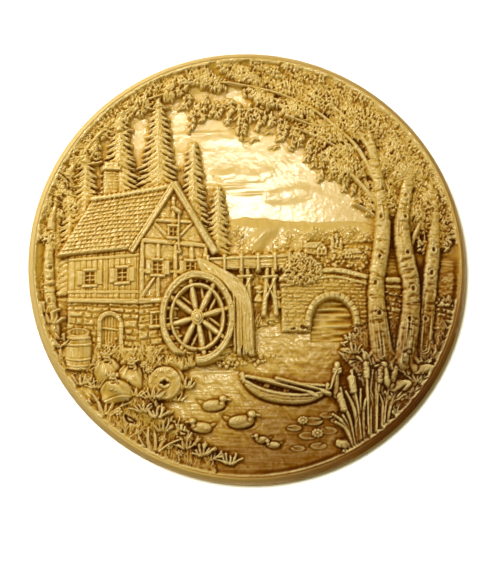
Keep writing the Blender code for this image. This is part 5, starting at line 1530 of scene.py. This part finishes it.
def resin(name, picture):
    mat = bpy.data.materials.new(name)
    mat.use_nodes = True
    t = mat.node_tree
    t.nodes.clear()
    out = t.nodes.new("ShaderNodeOutputMaterial")
    bsdf = t.nodes.new("ShaderNodeBsdfPrincipled")
    t.links.new(bsdf.outputs[0], out.inputs[0])
    coords = t.nodes.new("ShaderNodeTexCoord").outputs["Object"]
    wash_and_shade = node(t, "ShaderNodeAttribute", attribute_name="wash_and_shade").outputs["Fac"]
    rub_and_highlight = node(t, "ShaderNodeAttribute", attribute_name="rub_and_highlight").outputs["Fac"]
    broad = noise(t, coords, 22.0, 3.0)
    mid = noise(t, coords, 140.0, 4.0, 0.6)
    fine = noise(t, coords, 900.0, 3.0, 0.6)
    # the wash lies in the cuts, thinner and thicker from place to place; the same value carries the painted shade at
    # the lower right
    film_and_shade = math_node(t, "MULTIPLY", wash_and_shade, math_node(t, "ADD", math_node(t, "MULTIPLY", broad, 1.1), 0.55))
    film_and_shade = math_node(t, "ADD", film_and_shade, math_node(t, "MULTIPLY", math_node(t, "SUBTRACT", mid, 0.5), 0.26))
    film_and_shade = math_node(t, "ADD", film_and_shade, math_node(t, "MULTIPLY", math_node(t, "SUBTRACT", fine, 0.5), 0.14))
    colour = ramp(t, film_and_shade, [
        (0.00, (0.630, 0.440, 0.122)), (0.10, (0.556, 0.354, 0.056)), (0.24, (0.408, 0.213, 0.011)),
        (0.42, (0.260, 0.107, 0.0040)), (0.66, (0.156, 0.049, 0.0012)), (1.00, (0.086, 0.0195, 0.0004)),
    ])
    # rubbed high places show the pale resin; along the rim the same pale colour is a painted highlight
    bare_and_highlight = math_node(t, "MULTIPLY", rub_and_highlight, math_node(t, "ADD", math_node(t, "MULTIPLY", mid, 1.6), 0.2), clamp=True)
    colour = mix_rgb(t, "MIX", bare_and_highlight, colour, (0.720, 0.572, 0.262))
    tint = ramp(t, broad, [(0.30, (0.90, 0.86, 0.78)), (0.50, (1.0, 1.0, 1.0)), (0.72, (1.04, 1.06, 1.12))])
    colour = mix_rgb(t, "MULTIPLY", 0.75, colour, tint)
    t.links.new(colour, bsdf.inputs["Base Color"])
    rough = math_node(t, "ADD", math_node(t, "MULTIPLY", film_and_shade, 0.22), math_node(t, "MULTIPLY", mid, 0.14))
    rough = math_node(t, "ADD", rough, 0.19 if picture else 0.30, clamp=True)
    t.links.new(rough, bsdf.inputs["Roughness"])
    bsdf.inputs["Metallic"].default_value = 0.0
    bsdf.inputs["IOR"].default_value = 1.52
    # the wash is duller than the resin
    shine = math_node(t, "SUBTRACT", 0.53, math_node(t, "MULTIPLY", film_and_shade, 0.95), clamp=True)
    t.links.new(shine, bsdf.inputs["Specular IOR Level"])
    coat = math_node(t, "SUBTRACT", 0.34 if picture else 0.15, math_node(t, "MULTIPLY", film_and_shade, 1.1), clamp=True)
    t.links.new(coat, bsdf.inputs["Coat Weight"])
    bsdf.inputs["Specular Tint"].default_value = (1.0, 0.95, 0.80, 1.0)
    bsdf.inputs["Coat Roughness"].default_value = 0.13
    bsdf.inputs["Coat Tint"].default_value = (1.0, 0.95, 0.80, 1.0)
    bump = node(t, "ShaderNodeBump", inputs={"Strength": 0.42, "Distance": 0.0002})
    grain_h = math_node(t, "ADD", math_node(t, "MULTIPLY", noise(t, coords, 700.0, 4.0, 0.6), 0.7), math_node(t, "MULTIPLY", noise(t, coords, 2600.0, 2.0, 0.5), 0.3))
    t.links.new(grain_h, bump.inputs["Height"])
    t.links.new(bump.outputs[0], bsdf.inputs["Normal"])
    return mat


relief_resin = resin("honey_resin_carved", True)
plain_resin = resin("honey_resin_plain", False)
for piece in pictures:
    piece.data.materials.append(relief_resin)
body.data.materials.clear()
body.data.materials.append(plain_resin)
for piece in (*pictures, body):
    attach(piece, "root")
    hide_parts("plate")

# ---- stage: white wall, pale floor, light and camera ----------------------------------------------------------------------
def stage_plane(name, corners, glow):
    mesh = bpy.data.meshes.new(name)
    mesh.from_pydata(corners, [], [(0, 1, 2, 3)])
    obj = bpy.data.objects.new(name, mesh)
    bpy.context.scene.collection.objects.link(obj)
    mat = bpy.data.materials.new(name)
    mat.use_nodes = True
    t = mat.node_tree
    t.nodes.clear()
    out = t.nodes.new("ShaderNodeOutputMaterial")
    paint = node(t, "ShaderNodeBsdfPrincipled", inputs={"Base Color": (0.86, 0.88, 0.80, 1), "Roughness": 0.9, "Specular IOR Level": 0.1, "Emission Color": (1, 1, 1, 1), "Emission Strength": glow})
    clear = t.nodes.new("ShaderNodeBsdfTransparent")
    side = t.nodes.new("ShaderNodeNewGeometry").outputs["Backfacing"]
    mix = t.nodes.new("ShaderNodeMixShader")
    t.links.new(side, mix.inputs[0])
    t.links.new(paint.outputs[0], mix.inputs[1])
    t.links.new(clear.outputs[0], mix.inputs[2])
    t.links.new(mix.outputs[0], out.inputs[0])
    mesh.materials.append(mat)
    obj.visible_shadow = False
    return obj


WALL_Y = 0.0004
wall_sheet = stage_plane("wall", [(-4, WALL_Y, -1.2), (4, WALL_Y, -1.2), (4, WALL_Y, 4), (-4, WALL_Y, 4)], 0.0)
floor = stage_plane("floor", [(-6, -6, -1.2), (6, -6, -1.2), (6, 6, -1.2), (-6, 6, -1.2)], 0.42)


def pale_room():
    """A pale room round the stage for the other views; it neither lights the plate nor shades it."""
    bpy.ops.mesh.primitive_cube_add(size=12, location=(0, 0, 4.7))
    room = bpy.context.object
    room.name = room.data.name = "room"
    mat = bpy.data.materials.new("room")
    mat.use_nodes = True
    t = mat.node_tree
    t.nodes.clear()
    out = t.nodes.new("ShaderNodeOutputMaterial")
    glow = node(t, "ShaderNodeEmission", inputs={"Color": (0.72, 0.72, 0.69, 1), "Strength": 1.0})
    t.links.new(glow.outputs[0], out.inputs[0])
    room.data.materials.append(mat)
    return room


for sheet in (floor, pale_room()):
    sheet.visible_diffuse = sheet.visible_glossy = sheet.visible_transmission = sheet.visible_shadow = False

CENTRE = Vector((0, -0.012, PLATE_Z / 1000))
DISTANCE = 1.0
AZ, EL = math.radians(-2.3), math.radians(-10.55)
toward = Vector((math.sin(AZ) * math.cos(EL), -math.cos(AZ) * math.cos(EL), math.sin(EL)))
eye = CENTRE + toward * DISTANCE
cam_data = bpy.data.cameras.new("camera")
cam = bpy.data.objects.new("camera", cam_data)
bpy.context.scene.collection.objects.link(cam)
bpy.context.scene.camera = cam
MM_PER_PX = 0.5963
cam_data.sensor_fit = "HORIZONTAL"
cam_data.sensor_width = 36.0
cam_data.lens = 36.0 * DISTANCE * 1000 / (497 * MM_PER_PX)
cam_data.clip_start = 0.01
cam_data.dof.use_dof = False
look = -toward
right = look.cross(Vector((0, 0, 1))).normalized()
upward = right.cross(look).normalized()
aim = CENTRE + right * (0.6 * MM_PER_PX / 1000) - upward * (19.0 * MM_PER_PX / 1000)
cam.location = eye
view = (aim - eye).normalized()
cam.rotation_euler = view.to_track_quat("-Z", "Y").to_euler()


def area(name, place, target, size_x, size_y, power, colour=(1, 1, 1)):
    data = bpy.data.lights.new(name, "AREA")
    data.shape = "RECTANGLE"
    data.size, data.size_y = size_x, size_y
    data.energy = power
    data.color = colour
    obj = bpy.data.objects.new(name, data)
    bpy.context.scene.collection.objects.link(obj)
    obj.location = place
    obj.rotation_euler = (Vector(target) - Vector(place)).normalized().to_track_quat("-Z", "Y").to_euler()
    obj.visible_camera = False
    return obj


def only(lamp, things):
    """The lamp lights these things alone, or all but them where they are given as left out."""
    group = bpy.data.collections.new(lamp.name + "_lights")
    for thing, state in things:
        group.objects.link(thing)
        group.collection_objects[-1].light_linking.link_state = state
    lamp.light_linking.receiver_collection = group


key = CENTRE + Vector((-0.74, -0.80, 0.80)).normalized() * 0.58
lamps = [
    area("key", key, CENTRE, 0.28, 0.28, 3.0, (1.0, 0.975, 0.91)),
    area("fill", CENTRE + Vector((0.3, -1.3, 0.1)).normalized() * 2.2, CENTRE, 1.4, 1.4, 5.0, (1.0, 0.91, 0.48)),
]
# a broad lamp whose mirror image lies on the smooth sky
spot = Vector((-0.004, -0.0125, 0.036 + PLATE_Z / 1000))
to_eye = (eye - spot).normalized()
facing = Vector((0, -1, 0))
mirror = 2 * to_eye.dot(facing) * facing - to_eye
lamps.append(area("sheen", spot + mirror * 0.95, spot, 0.12, 0.07, 1.85, (0.98, 0.97, 0.93)))
lamps.append(area("back_soft", CENTRE + Vector((0.35, 1.2, 0.75)).normalized() * 1.6, CENTRE, 1.2, 1.2, 9, (1.0, 0.97, 0.92)))
for lamp in lamps:  # the wall is lit by a lamp of its own
    only(lamp, [(wall_sheet, "EXCLUDE")])
wall_lamp = area("wall_lamp", CENTRE + Vector((-0.195, -1.0, -0.022)).normalized() * 2.0, CENTRE, 0.27, 0.27, 60, (1.0, 1.0, 0.98))
only(wall_lamp, [(wall_sheet, "INCLUDE")])
world = bpy.data.worlds.new("studio")
bpy.context.scene.world = world
world.use_nodes = True
world.node_tree.nodes["Background"].inputs[0].default_value = (1.0, 0.83, 0.34, 1)
world.node_tree.nodes["Background"].inputs[1].default_value = 0.26
bpy.context.scene.view_settings.view_transform = "Standard"
bpy.context.scene.view_settings.look = "None"
